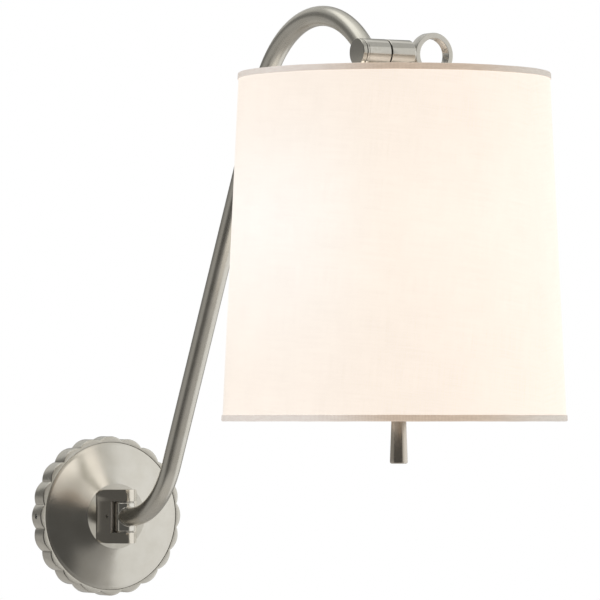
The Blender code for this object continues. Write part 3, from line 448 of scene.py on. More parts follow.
def lathe(profile, steps, place=Matrix.Identity(4), wave=None, loop=None):
    """Turns (radius, height) points about local Z. Gives points, faces and grain coordinates."""
    points, faces, grain, rows = [], [], [], []
    if loop is None:
        loop = profile[0][0] > 1e-9 and profile[-1][0] > 1e-9
    run = 0.0
    for i, (radius, height) in enumerate(profile):
        if i:
            run += math.hypot(radius - profile[i - 1][0], height - profile[i - 1][1])
        if radius < 1e-9:
            rows.append([len(points)] * steps)
            points.append(place @ Vector((0.0, 0.0, height)))
            grain.append((run * 9000.0, 0.0, 0.0))
            continue
        row = []
        for k in range(steps):
            angle = TAU * k / steps
            wide = wave(radius, height, angle) if wave else radius
            row.append(len(points))
            points.append(place @ Vector((wide * math.cos(angle), wide * math.sin(angle), height)))
            grain.append((run * 9000.0, math.cos(angle) * 1.6, math.sin(angle) * 1.6))
        rows.append(row)
    pairs = list(zip(rows, rows[1:])) + ([(rows[-1], rows[0])] if loop else [])
    for a, b in pairs:
        for k in range(steps):
            m = (k + 1) % steps
            ring = []
            for index in (a[k], a[m], b[m], b[k]):
                if index not in ring:
                    ring.append(index)
            if len(ring) > 2:
                faces.append(ring)
    return points, faces, {"grain": grain}


def frames(path):
    """A steady cross-section frame at each point of a path."""
    path = [Vector(p) for p in path]
    tangents = []
    for i in range(len(path)):
        a = path[i] - path[i - 1] if i else path[1] - path[0]
        b = path[i + 1] - path[i] if i + 1 < len(path) else a
        tangents.append((a.normalized() + b.normalized()).normalized())
    side = Vector((1, 0, 0))
    if abs(tangents[0].dot(side)) > 0.9:
        side = Vector((0, 1, 0))
    side = (side - tangents[0] * side.dot(tangents[0])).normalized()
    out = []
    for tangent in tangents:
        side = (side - tangent * side.dot(tangent)).normalized()
        out.append((side.copy(), tangent.cross(side).normalized()))
    return path, tangents, out


def sweep(path, radius, sides, caps=True, swell=None):
    """A round rod along a path, with grain coordinates that run along it."""
    path, tangents, cross = frames(path)
    points, faces, grain = [], [], []
    run = 0.0
    for i, (centre, (a, b)) in enumerate(zip(path, cross)):
        if i:
            run += (centre - path[i - 1]).length
        wide = radius * (swell(i / (len(path) - 1)) if swell else 1.0)
        for k in range(sides):
            angle = TAU * k / sides
            points.append(centre + (a * math.cos(angle) + b * math.sin(angle)) * wide)
            grain.append((math.cos(angle) * radius * 7000.0, math.sin(angle) * radius * 7000.0, run * 130.0))
    for i in range(len(path) - 1):
        for k in range(sides):
            m = (k + 1) % sides
            faces.append([i * sides + k, i * sides + m, (i + 1) * sides + m, (i + 1) * sides + k])
    if caps:
        for base, centre, sign in ((0, path[0] - tangents[0] * radius * 0.12, -1),
                                   ((len(path) - 1) * sides, path[-1] + tangents[-1] * radius * 0.12, 1)):
            tip = len(points)
            points.append(centre)
            grain.append((0.0, 0.0, run * 130.0))
            for k in range(sides):
                faces.append([base + k, base + (k + 1) % sides, tip])
    return points, faces, {"grain": grain}


def outline_plate(loops, low, high, place=Matrix.Identity(4)):
    """A flat outline, with holes as further loops, extruded along local Z."""
    curve = bpy.data.curves.new("outline", "CURVE")
    curve.dimensions = "2D"
    curve.fill_mode = "BOTH"
    curve.extrude = (high - low) / 2.0
    for loop in loops:
        spline = curve.splines.new("POLY")
        spline.points.add(len(loop) - 1)
        for point, (x, y) in zip(spline.points, loop):
            point.co = (x, y, 0.0, 1.0)
        spline.use_cyclic_u = True
    holder = bpy.data.objects.new("outline", curve)
    bpy.context.scene.collection.objects.link(holder)
    bpy.context.view_layer.update()
    mesh = bpy.data.meshes.new_from_object(holder.evaluated_get(bpy.context.evaluated_depsgraph_get()))
    bpy.data.objects.remove(holder, do_unlink=True)
    bpy.data.curves.remove(curve)
    bm = bmesh.new()
    bm.from_mesh(mesh)
    bmesh.ops.remove_doubles(bm, verts=bm.verts, dist=1e-7)
    lift = Matrix.Translation((0.0, 0.0, (low + high) / 2.0))
    bmesh.ops.transform(bm, matrix=place @ lift, verts=bm.verts)
    bmesh.ops.recalc_face_normals(bm, faces=bm.faces)
    points = [v.co.copy() for v in bm.verts]
    bm.verts.index_update()
    faces = [[v.index for v in f.verts] for f in bm.faces]
    bm.free()
    bpy.data.meshes.remove(mesh)
    return points, faces, {}


def raw_mesh(name, shape):
    points, faces, extra = shape
    mesh = bpy.data.meshes.new(name)
    mesh.from_pydata([tuple(p) for p in points], [], faces)
    for key, rows in extra.items():
        kept = mesh.attributes.new(key, "FLOAT_VECTOR", "POINT")
        kept.data.foreach_set("vector", [c for row in rows for c in row])
    bm = bmesh.new()
    bm.from_mesh(mesh)
    bmesh.ops.recalc_face_normals(bm, faces=bm.faces)
    bm.to_mesh(mesh)
    bm.free()
    return mesh


def joined(*shapes):
    """Several closed shapes as one mesh."""
    points, faces, grain = [], [], []
    for more, rings, extra in shapes:
        base = len(points)
        points += list(more)
        faces += [[i + base for i in ring] for ring in rings]
        grain += extra.get("grain", [(0.0, 0.0, 0.0)] * len(more))
    return points, faces, {"grain": grain}


def evaluated(name, mesh, modifiers):
    """The mesh after a list of modifiers, as a new mesh."""
    holder = bpy.data.objects.new(name, mesh)
    bpy.context.scene.collection.objects.link(holder)
    helpers = []
    for kind, settings in modifiers:
        made = holder.modifiers.new(kind.lower(), kind)
        for key, value in settings.items():
            if isinstance(value, bpy.types.Mesh):
                value = bpy.data.objects.new("helper", value)
                bpy.context.scene.collection.objects.link(value)
                helpers.append(value)
            setattr(made, key, value)
    bpy.context.view_layer.update()
    result = bpy.data.meshes.new_from_object(holder.evaluated_get(bpy.context.evaluated_depsgraph_get()))
    for extra in helpers + [holder]:
        bpy.data.objects.remove(extra, do_unlink=True)
    return result


def boolean(mesh, shape, operation="DIFFERENCE"):
    other = shape if isinstance(shape, bpy.types.Mesh) else raw_mesh("cutter", shape)
    return evaluated("carved", mesh, [("BOOLEAN", dict(operation=operation, solver="EXACT", object=other))])


def bevelled(mesh, width, segments=3, angle=32.0):
    return evaluated("bevelled", mesh, [("BEVEL", dict(width=width, segments=segments, limit_method="ANGLE",
                                                       angle_limit=math.radians(angle), harden_normals=False,
                                                       use_clamp_overlap=True, miter_outer="MITER_ARC"))])


def mark_edges(mesh, sharp=40.0):
    """Smooth shading, with sharp edges kept, and a value per point that is high on outer edges."""
    mesh.shade_smooth()
    mesh.set_sharp_from_angle(angle=math.radians(sharp))
    bm = bmesh.new()
    bm.from_mesh(mesh)
    values = [0.0] * len(bm.verts)
    bm.verts.index_update()
    for edge in bm.edges:
        if len(edge.link_faces) != 2:
            continue
        bend = edge.calc_face_angle_signed(0.0)
        if bend > 0.10:
            reach = max(edge.link_faces[0].calc_area(), edge.link_faces[1].calc_area())
            amount = min(1.0, bend / 0.6)
            for vert in edge.verts:
                values[vert.index] = max(values[vert.index], amount)
    bm.free()
    kept = mesh.attributes.get("edge") or mesh.attributes.new("edge", "FLOAT", "POINT")
    kept.data.foreach_set("value", values)


def piece(name, shape, mat, body, stands_for=(), sharp=40.0):
    mesh = shape if isinstance(shape, bpy.types.Mesh) else raw_mesh(name, shape)
    mesh.name = name
    mark_edges(mesh, sharp)
    mesh.materials.clear()
    for each in mat if isinstance(mat, (list, tuple)) else [mat]:
        mesh.materials.append(each)
    obj = bpy.data.objects.new(name, mesh)
    bpy.context.scene.collection.objects.link(obj)
    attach(obj, body)
    if stands_for:
        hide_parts(*stands_for)
    return obj


def route(knots, count):
    """A Catmull-Rom curve through the knots, read off at even steps."""
    points = [Vector(k) for k in knots]
    points = [2 * points[0] - points[1]] + points + [2 * points[-1] - points[-2]]
    spans = len(points) - 3
    out = []
    for i in range(count + 1):
        u = i / count * spans
        k = min(int(u), spans - 1)
        t = u - k
        a, b, c, d = points[k:k + 4]
        out.append(0.5 * ((2 * b) + (c - a) * t + (2 * a - 5 * b + 4 * c - d) * t * t + (3 * b - a - 3 * c + d) * t ** 3))
    return out


def arc(cx, cy, radius, start, end, count):
    return [(cx + radius * math.cos(math.radians(start + (end - start) * i / count)),
             cy + radius * math.sin(math.radians(start + (end - start) * i / count))) for i in range(count + 1)]


def mm(points):
    return [tuple(c * MM for c in p) for p in points]


def cylinder(radius, low, high, place=Matrix.Identity(4), steps=48):
    return lathe([(0.0, high), (radius, high), (radius, low), (0.0, low)], steps, place)


# ------------------------------------------------------------------ wall plate
SCALLOPS = 20
PLATE_TIP_R, PLATE_VALLEY_R, LAND_R = 57.15 * MM, 54.7 * MM, 52.98 * MM


def scallop_radius(angle):
    lobe = abs(math.cos(angle * SCALLOPS / 2.0))
    return PLATE_VALLEY_R + (PLATE_TIP_R - PLATE_VALLEY_R) * lobe ** 0.8


def build_rim():
    """Cast ring: the lobes are full on the side wall and fade across the front land."""
    def wave(radius, height, angle):
        share = min(max((radius - 54.0 * MM) / (PLATE_TIP_R - 1.6 * MM - 54.0 * MM), 0.0), 1.0)
        return radius + (scallop_radius(angle) - PLATE_TIP_R) * share

    outer = [(57.15, 0.0, 0.25), (57.15, 13.3, 0.8)]
    land = [(54.4, 13.3, 0.0), (53.0, 13.3, 0.18), (52.98, 11.2, 0.1), (49.5, 11.2, 0.2), (49.5, 9.4, 0.2), (53.2, 9.4, 0.2),
            (53.2, 0.0, 0.25)]
    profile = fillet([(r * MM, h * MM, f * MM) for r, h, f in outer + land], 0.2 * MM, loop=True, segments=6)
    mesh = raw_mesh("scalloped_rim", lathe(profile, SCALLOPS * 36, FACE_ROOM, wave))
    hole = cylinder(1.8 * MM, -60 * MM, 60 * MM, Matrix.Translation((0, -6.5 * MM, 0)) @ ALONG_X, 32)
    mesh = boolean(mesh, hole)
    piece("scalloped_rim_cast", mesh, satin_nickel("rim_satin_nickel", "none", (0.20, 0.30)), "wall_base",
          ["scalloped_rim"], 34.0)


def dome_height(radius):
    foot, top = 51.3 * MM, 23.8 * MM
    t = min(max((foot - radius) / (foot - top), 0.0), 1.0)
    return 13.2 * MM + 7.9 * MM * (t + 0.022 * math.sin(TAU * t))


def build_dome():
    """Spun cover with a flat boss, its foot rolled down into the ring."""
    count = 30
    slope = [51.3 * MM + (23.8 - 51.3) * MM * i / count for i in range(count + 1)]
    boss = fillet([(0.0, 21.3 * MM), (23.3 * MM, 21.3 * MM, 0.6 * MM), (23.8 * MM, dome_height(23.8 * MM), 0.0)], 0.3 * MM,
                  segments=5)
    foot = fillet([(51.3 * MM, dome_height(51.3 * MM)), (52.84 * MM, 13.12 * MM, 0.3 * MM), (52.84 * MM, 11.5 * MM)], 0.3 * MM,
                  segments=5)
    outer = boss[:-1] + [(r, dome_height(r)) for r in reversed(slope)] + foot[1:]
    inner = [(50.6 * MM, 11.5 * MM)]
    inner += [(r - 1.0 * MM, dome_height(r) - 1.3 * MM) for r in slope[::3]]
    inner += [(22.2 * MM, 19.8 * MM), (0.0, 19.8 * MM)]
    mesh = raw_mesh("dome", lathe(outer + inner, 240, FACE_ROOM))
    for z, radius in ((15.0, 2.3), (-15.0, 2.3), (0.0, 3.4)):
        mesh = boolean(mesh, cylinder(radius * MM, 15 * MM, 25 * MM, Matrix.Translation((0, 0, z * MM)) @ FACE_ROOM, 32))
    piece("backplate_spun_dome", mesh, satin_nickel("dome_satin_nickel", "grain", (0.15, 0.21)), "wall_base",
          ["backplate_dome"], 34.0)


def slotted_screw(name, shank, head, low, seat, top, place, mat, stands_for, body="wall_base", pitch=0.8):
    """Pan-head machine screw with a slot and a rolled thread."""
    rise = top - seat
    sign = 1.0 if rise > 0 else -1.0
    dome = [(0.0, top), (head * 0.45, top - rise * 0.03), (head * 0.80, top - rise * 0.18), (head * 0.97, top - rise * 0.48),
            (head, seat + rise * 0.30), (head, seat + sign * 0.08 * MM), (head - 0.1 * MM, seat)]
    thread = [(shank, seat)]
    length = abs(seat - low)
    turns = max(2, int(length / (pitch * MM)))
    step = length / turns
    for i in range(turns):
        at = seat - sign * step * i
        thread += [(shank, at - sign * step * 0.30), (shank * 0.84, at - sign * step * 0.62), (shank, at - sign * step * 0.94)]
    thread += [(shank * 0.8, low), (0.0, low)]
    mesh = raw_mesh(name, lathe(dome + thread, 40, place))
    depth = abs(rise) * 0.45
    bar_low, bar_high = sorted((top + sign * 0.5 * MM, top - sign * depth))
    wide = 0.42 * MM
    corners = [(-head * 1.2, -wide), (head * 1.2, -wide), (head * 1.2, wide), (-head * 1.2, wide)]
    mesh = boolean(mesh, outline_plate([corners], bar_low, bar_high, place @ Matrix.Rotation(0.5, 4, "Z")))
    piece(name, mesh, mat, body, stands_for, 30.0)


def set_screw(name, radius, low, high, place, mat, stands_for, socket_end):
    """Headless screw with a hexagon socket in its outer end."""
    c = 0.22 * MM
    profile = [(0.0, high), (radius - c, high), (radius, high - c)]
    turns = max(2, int((high - low) / (0.55 * MM)))
    step = (high - low - 2 * c) / turns
    for i in range(turns):
        at = high - c - step * i
        profile += [(radius * 0.88, at - step * 0.5), (radius, at - step)]
    profile += [(radius - c, low), (0.0, low)]
    mesh = raw_mesh(name, lathe(profile, 36, place))
    hexagon = [(radius * 0.52 * math.cos(TAU * i / 6), radius * 0.52 * math.sin(TAU * i / 6)) for i in range(6)]
    span = (high - 1.6 * MM, high + 1 * MM) if socket_end > 0 else (low - 1 * MM, low + 1.6 * MM)
    mesh = boolean(mesh, outline_plate([hexagon], *span, place))
    piece(name, mesh, mat, "wall_base", stands_for, 30.0)


def build_wall_screws():
    zinc = zinc_metal("screw_zinc_steel")
    for side, word in ((-1, "left"), (1, "right")):
        slotted_screw(f"strap_slot_screw_{word}", 1.9 * MM, 3.6 * MM, 0.2 * MM, 2.3 * MM, 4.8 * MM,
                      Matrix.Translation((side * 44.45 * MM, 0, 0)) @ FACE_ROOM, zinc, [f"strap_screw_{word}"])
        ends = sorted((side * 50.4 * MM, side * 56.6 * MM))
        set_screw(f"rim_socket_screw_{word}", 1.5 * MM, ends[0], ends[1], Matrix.Translation((0, -6.5 * MM, 0)) @ ALONG_X,
                  zinc, [f"rim_set_screw_{word}"], side)
    green = metal("ground_screw_green", (0.06, 0.34, 0.15), (0.30, 0.44), "none", blotch=0.25)
    slotted_screw("ground_slot_screw", 1.7 * MM, 3.4 * MM, 0.2 * MM, 2.3 * MM, 4.6 * MM,
                  Matrix.Translation((-24 * MM, 0, 0)) @ FACE_ROOM, green, ["ground_screw"])
    for side, word in ((1, "upper"), (-1, "lower")):
        slotted_screw(f"bracket_slot_screw_{word}", 2.0 * MM, 4.0 * MM, 28.5 * MM, 19.4 * MM, 16.6 * MM,
                      Matrix.Translation((0, 0, side * 15 * MM)) @ FACE_ROOM, zinc, [f"bracket_screw_{word}"])
    set_screw("bracket_socket_screw", 0.8 * MM, -11.2 * MM, -8.1 * MM, Matrix.Translation((0, -28.8 * MM, 0)) @ ALONG_X,
              zinc, ["bracket_set_screw"], -1)


# ------------------------------------------------------------------ hinge at the wall
def keystone(inset=0.0):
    half, back = 16.5 * MM - inset, -21.6 * MM
    radius = BARREL_R - inset
    dx, dy = half, back - HINGE_Y
    reach, bearing = math.hypot(dx, dy), math.atan2(dy, dx)
    touch = math.degrees(bearing - math.acos(radius / reach))
    return [(-half, back), (half, back)] + arc(0.0, HINGE_Y, radius, touch, -180.0 - touch, 40)


def rounded_rectangle(half_x, half_y, radius, count=8):
    out = []
    for sx, sy, start in ((1, 1, 0), (-1, 1, 90), (-1, -1, 180), (1, -1, 270)):
        out += arc(sx * (half_x - radius), sy * (half_y - radius), radius, start, start + 90, count)
    return out


def web_outline(inset=0.0):
    """Plan of the clevis web: it clears the barrel and the tube's 50 degree swing, with eased front corners."""
    half, back, radius = 16.5 * MM - inset, -21.6 * MM - HINGE_Y, BARREL_R - inset
    touch = math.atan2(back, half) - math.acos(radius / math.hypot(half, back))
    tangent = Vector((radius * math.cos(touch), radius * math.sin(touch)))
    side = tangent - Vector((half, back))
    swing, clear = math.radians(51.0), TUBE_R + 0.9 * MM + inset
    normal = Vector((math.cos(swing), math.sin(swing)))
    start = Vector((half, back))
    corner = start + side * ((clear - start.dot(normal)) / side.dot(normal))
    foot = normal * clear
    room = BARREL_R + 0.12 * MM
    edge = math.degrees(math.asin(min(foot.y / room, 1.0)))
    right = [(half, back, 0.0), (corner.x, corner.y, 1.9 * MM), (foot.x, foot.y, 0.0)]
    left = [(-x, y, r) for x, y, r in reversed(right)]
    ring = right + [(x, y, 0.0) for x, y in arc(0.0, 0.0, room, edge, 180.0 - edge, 24)] + left
    eased = fillet([(x + 1.0, y, r) for x, y, r in ring], 0.0, loop=True, segments=8)
    return [(x - 1.0, y + HINGE_Y) for x, y in eased]


def build_bracket():
    """Clevis: two lugs and a web between them, with room for the barrel and the swinging tube."""
    upper, lower, half = 10.8 * MM, -11.6 * MM, 19.15 * MM
    mesh = raw_mesh("bracket", outline_plate([keystone()], upper, half))
    mesh = boolean(mesh, outline_plate([web_outline(0.05 * MM)], lower + 0.3 * MM, upper + 1 * MM), "UNION")
    mesh = boolean(mesh, outline_plate([web_outline(0.4 * MM)], lower - 1 * MM, lower + 1 * MM), "UNION")
    mesh = boolean(mesh, outline_plate([keystone()], -half, lower), "UNION")
    mesh = boolean(mesh, outline_plate([rounded_rectangle(16.5 * MM, half, 5.0 * MM)], -30 * MM, 30 * MM,
                                       Matrix.Translation((0, -34 * MM, 0)) @ FACE_ROOM), "INTERSECT")
    mesh = bevelled(mesh, 0.22 * MM, 3)
    mesh = boolean(mesh, cylinder(3.0 * MM, -25 * MM, 25 * MM, HINGE_AXIS, 48))
    mesh = boolean(mesh, cylinder(1.1 * MM, -20 * MM, -7.8 * MM, Matrix.Translation((0, -28.8 * MM, 0)) @ ALONG_X, 28))
    for z, radius in ((15.0, 2.3), (-15.0, 2.3), (0.0, 2.9)):
        mesh = boolean(mesh, cylinder(radius * MM, 18 * MM, 29 * MM, Matrix.Translation((0, 0, z * MM)) @ FACE_ROOM, 28))
    piece("hinge_clevis", mesh, clevis_nickel("clevis_bright_nickel"), "wall_base",
          ["hinge_bracket"], 30.0)


def build_hinge_inside():
    steel = zinc_metal("pivot_zinc_steel", "none")
    for side, word in ((1, "upper"), (-1, "lower")):
        low, high = sorted((side * 4.5 * MM, side * 18.8 * MM))
        mesh = raw_mesh("pivot", lathe(fillet([(0.0, high), (2.7 * MM, high, 0.3 * MM), (2.7 * MM, low, 0.3 * MM), (0.0, low)],
                                             0.3 * MM), 48, HINGE_AXIS))
        hexagon = [(1.5 * MM * math.cos(TAU * i / 6), 1.5 * MM * math.sin(TAU * i / 6)) for i in range(6)]
        span = (high - 2.2 * MM, high + 1 * MM) if side > 0 else (low - 1 * MM, low + 2.2 * MM)
        mesh = boolean(mesh, outline_plate([hexagon], *span, HINGE_AXIS))
        piece(f"pivot_socket_screw_{word}", mesh, steel, "wall_base", [f"pivot_screw_{word}"], 30.0)
        face = 10.8 * MM if side > 0 else -11.6 * MM
        low, high = sorted((face - side * 0.3 * MM, face - side * 0.75 * MM))
        ring = fillet([(3.1 * MM, high), (6.95 * MM, high), (6.95 * MM, low), (3.1 * MM, low)], 0.12 * MM, loop=True, segments=3)
        piece(f"hinge_thrust_washer_{word}", lathe(ring, 72, HINGE_AXIS), bright_nickel(f"hinge_washer_{word}_nickel"),
              "wall_base", [f"hinge_washer_{word}"])


def build_barrel():
    """Turned barrel with eased ends, and the tube brazed into it with a small smooth fillet."""
    profile = [(3.0, 9.8, 0.2), (6.7, 9.8, 0.25), (7.1, 9.35, 0.2), (7.1, -10.15, 0.2), (6.7, -10.6, 0.25), (3.0, -10.6, 0.2)]
    profile = fillet([(r * MM, h * MM, f * MM) for r, h, f in profile], 0.2 * MM, loop=True)
    barrel = lathe(profile, 128, HINGE_AXIS)
    seat = TUBE_R + 0.12 * MM
    points = []
    for i in range(97):
        angle = TAU * i / 96
        x, z = seat * math.cos(angle), seat * math.sin(angle)
        points.append((x, HINGE_Y - math.sqrt(BARREL_R ** 2 - x * x) - 0.12 * MM, z))
    bead = sweep_loop(points[:-1], 0.52 * MM, 14)
    piece("wall_barrel_turned", joined(barrel, bead), bright_nickel("barrel_bright_nickel"), "arm",
          ["wall_barrel"])


def sweep_loop(path, radius, sides):
    """A round rod along a closed path."""
    path = [Vector(p) for p in path]
    count = len(path)
    points, faces, grain = [], [], []
    hub = sum(path, Vector()) / count
    for i, centre in enumerate(path):
        tangent = (path[(i + 1) % count] - path[i - 1]).normalized()
        out = centre - hub
        out = (out - tangent * out.dot(tangent)).normalized()
        up = tangent.cross(out)
        for k in range(sides):
            angle = TAU * k / sides
            points.append(centre + (out * math.cos(angle) + up * math.sin(angle)) * radius)
            grain.append((math.cos(angle) * 12.0, math.sin(angle) * 12.0, i * 0.3))
    for i in range(count):
        for k in range(sides):
            m, j = (k + 1) % sides, (i + 1) % count
            faces.append([i * sides + k, i * sides + m, j * sides + m, j * sides + k])
    return points, faces, {"grain": grain}


# ------------------------------------------------------------------ arm
ARM_START, RISE_R, LEAN, STRAIGHT = 9.1 * MM, 65.8 * MM, math.radians(26.45), 286.8 * MM
ARCH_R, ARCH_TURN = 83.4 * MM, math.radians(112.8)


def arm_centreline(rise_steps, straight_steps, arch_steps):
    """(reach, height) points with headings, from the hinge axis to the knuckle."""
    out = [(0.0, 0.0, 0.0), (ARM_START * 0.9, 0.0, 0.0)]
    up = math.pi / 2 - LEAN
    for i in range(rise_steps + 1):
        a = up * i / rise_steps
        out.append((ARM_START + RISE_R * math.sin(a), RISE_R * (1 - math.cos(a)), a))
    r, z, _ = out[-1]
    for i in range(1, straight_steps + 1):
        s = STRAIGHT * i / straight_steps
        out.append((r + s * math.cos(up), z + s * math.sin(up), up))
    r, z, _ = out[-1]
    cr, cz = r + ARCH_R * math.sin(up), z - ARCH_R * math.cos(up)
    for i in range(1, arch_steps + 1):
        heading = up - ARCH_TURN * i / arch_steps
        out.append((cr - ARCH_R * math.sin(heading), cz + ARCH_R * math.cos(heading), heading))
    r, z, heading = out[-1]
    out.append((r + 1.5 * MM * math.cos(heading), z + 1.5 * MM * math.sin(heading), heading))
    return out


def build_tube():
    """One bent tube, its two ends coped to the barrel and to the knuckle."""
    line = arm_centreline(44, 24, 84)
    sides = 72
    points, faces, grain = [], [], []
    end_heading = line[-1][2]
    for wall, radius in ((0, TUBE_R), (1, TUBE_R - 1.0 * MM)):
        run = 0.0
        for i, (reach, height, heading) in enumerate(line):
            if i:
                run += math.hypot(reach - line[i - 1][0], height - line[i - 1][1])
            for k in range(sides):
                angle = TAU * k / sides
                x, off = radius * math.cos(angle), radius * math.sin(angle)
                r, z = reach - off * math.sin(heading), height + off * math.cos(heading)
                if i == 0:
                    r = math.sqrt((BARREL_R + 0.05 * MM) ** 2 - x * x)
                if i == 1:
                    r = max(r, math.sqrt((BARREL_R + 0.05 * MM) ** 2 - x * x) + 0.4 * MM)
                if i >= len(line) - 3:
                    # the distance still to go, along the end's heading, to the knuckle's cylinder
                    kr, kz = HINGE_Y - KNUCKLE_Y, KNUCKLE_Z
                    dr, dz = r - kr, z - kz
                    cross = dr * math.sin(end_heading) - dz * math.cos(end_heading)
                    along = dr * math.cos(end_heading) + dz * math.sin(end_heading)
                    stop = -math.sqrt(max((KNUCKLE_R + 0.05 * MM) ** 2 - cross * cross, 0.0))
                    limit = stop - (len(line) - 1 - i) * 0.5 * MM
                    if i == len(line) - 1 or along > limit:
                        r += (limit - along) * math.cos(end_heading)
                        z += (limit - along) * math.sin(end_heading)
                points.append(Vector((x, HINGE_Y - r, z)))
                grain.append((math.cos(angle) * 47.0, math.sin(angle) * 47.0, run * 130.0))
    count = len(line)
    for wall in (0, 1):
        base = wall * count * sides
        for i in range(count - 1):
            for k in range(sides):
                m = (k + 1) % sides
                faces.append([base + i * sides + k, base + i * sides + m, base + (i + 1) * sides + m, base + (i + 1) * sides + k])
    for i in (0, count - 1):
        for k in range(sides):
            m = (k + 1) % sides
            faces.append([i * sides + k, i * sides + m, (count + i) * sides + m, (count + i) * sides + k])
    piece("arm_bent_tube", (points, faces, {"grain": grain}), satin_nickel("arm_satin_nickel", "grain", (0.24, 0.33)), "arm",
          ["arm_tube"])


def build_knuckle():
    """Fixed half, end cap and moving half of the friction knuckle, with eased edges and the grooves between them."""
    bright = bright_nickel("knuckle_bright_nickel")
    cap = [(0.0, -9.5, 0.0), (9.2, -9.5, 0.45), (9.2, -6.4, 0.32), (3.0, -6.4, 0.1), (3.0, -8.4, 0.1), (0.0, -8.4, 0.0)]
    piece("knuckle_end_cap", lathe(fillet([(r * MM, h * MM, f * MM) for r, h, f in cap], 0.3 * MM, segments=5), 128, KNUCKLE_AXIS),
          satin_nickel("cap_satin_nickel", "grain", (0.16, 0.24)), "arm", ["knuckle_cap"])
    fixed = [(3.0, -6.1, 0.2), (9.2, -6.1, 0.32), (9.2, -5.0, 0.0), (9.2, -4.86, 0.0), (8.98, -4.7, 0.05), (8.98, -4.55, 0.05),
             (9.2, -4.4, 0.0), (9.2, 12.0, 0.36), (3.0, 12.0, 0.2)]
    mesh = raw_mesh("fixed", lathe(fillet([(r * MM, h * MM, f * MM) for r, h, f in fixed], 0.3 * MM, loop=True, segments=5),
                                   128, KNUCKLE_AXIS))
    piece("knuckle_fixed_half", mesh, bright, "arm", ["knuckle_arm"])

    moving = [(0.0, 31.8, 0.0), (7.9, 31.8, 0.25), (9.2, 30.6, 0.35), (9.2, 13.0, 0.36), (0.0, 13.0, 0.0)]
    mesh = raw_mesh("moving", lathe(fillet([(r * MM, h * MM, f * MM) for r, h, f in moving], 0.3 * MM, segments=5), 128,
                                    KNUCKLE_AXIS))
    boss = [(0.0, 304.0, 0.0), (6.3, 304.0, 0.0), (6.3, 291.5, 0.5), (0.0, 291.5, 0.0)]
    mesh = boolean(mesh, lathe(fillet([(r * MM, h * MM, f * MM) for r, h, f in boss], 0.5 * MM, segments=5), 96, SHADE_AXIS), "UNION")
    mesh = boolean(mesh, cylinder(3.0 * MM, 0.0, 40 * MM, KNUCKLE_AXIS, 64))
    mesh = boolean(mesh, cylinder(5.0 * MM, 285 * MM, 303.4 * MM, SHADE_AXIS, 64))
    piece("knuckle_moving_half", mesh, bright_nickel("knuckle_head_bright_nickel", "x"), "shade_head",
          ["knuckle_head"], 30.0)


def build_ring():
    """Flat finger ring on a necked shank with a collar."""
    place = Matrix.Translation((RING_X, KNUCKLE_Y, KNUCKLE_Z)) @ FACE_ROOM
    section = [(10.9, -3.85), (14.7, -3.85), (14.7, 3.85), (10.9, 3.85)]
    ring = fillet(mm(section), 0.42 * MM, loop=True, segments=5)
    mesh = raw_mesh("ring", lathe(ring, 160, place))
    shank = [(0.0, 37.6, 0.0), (2.5, 37.6, 0.0), (2.15, 36.0, 0.8), (2.6, 33.9, 0.4), (4.7, 33.5, 0.3), (5.0, 33.0, 0.3),
             (5.0, 32.2, 0.25), (2.7, 32.2, 0.1), (2.7, -7.6, 0.2), (2.2, -8.0, 0.1), (0.0, -8.0, 0.0)]
    stem = lathe(fillet([(r * MM, h * MM, f * MM) for r, h, f in shank], 0.3 * MM, segments=5), 72, KNUCKLE_AXIS)
    mesh = boolean(mesh, stem, "UNION")
    piece("finger_ring_screw", mesh, bright_nickel("ring_bright_nickel", "none", (0.12, 0.20)), "clamp_screw",
          ["finger_ring"], 32.0)


# ------------------------------------------------------------------ shade
def shade_radius(z):
    t = (SHADE_TOP_Z - z) / (SHADE_TOP_Z - SHADE_BOTTOM_Z)
    return SHADE_TOP_R + (SHADE_BOTTOM_R - SHADE_TOP_R) * t


SLANT = (SHADE_BOTTOM_R - SHADE_TOP_R) / math.hypot(SHADE_BOTTOM_R - SHADE_TOP_R, SHADE_TOP_Z - SHADE_BOTTOM_Z)
SEAM = math.radians(118.0)                       # the overlap faces the wall


def flat_cloth(angle, z):
    """Where a point of the cone lies on the cloth before it was rolled, in millimetres."""
    turn = (angle - SEAM + math.pi * 3) % TAU - math.pi
    reach = shade_radius(z) / SLANT
    bearing = turn * SLANT
    return (reach * math.sin(bearing) / MM, (reach * math.cos(bearing) - SHADE_BOTTOM_R / SLANT) / MM, 0.0)


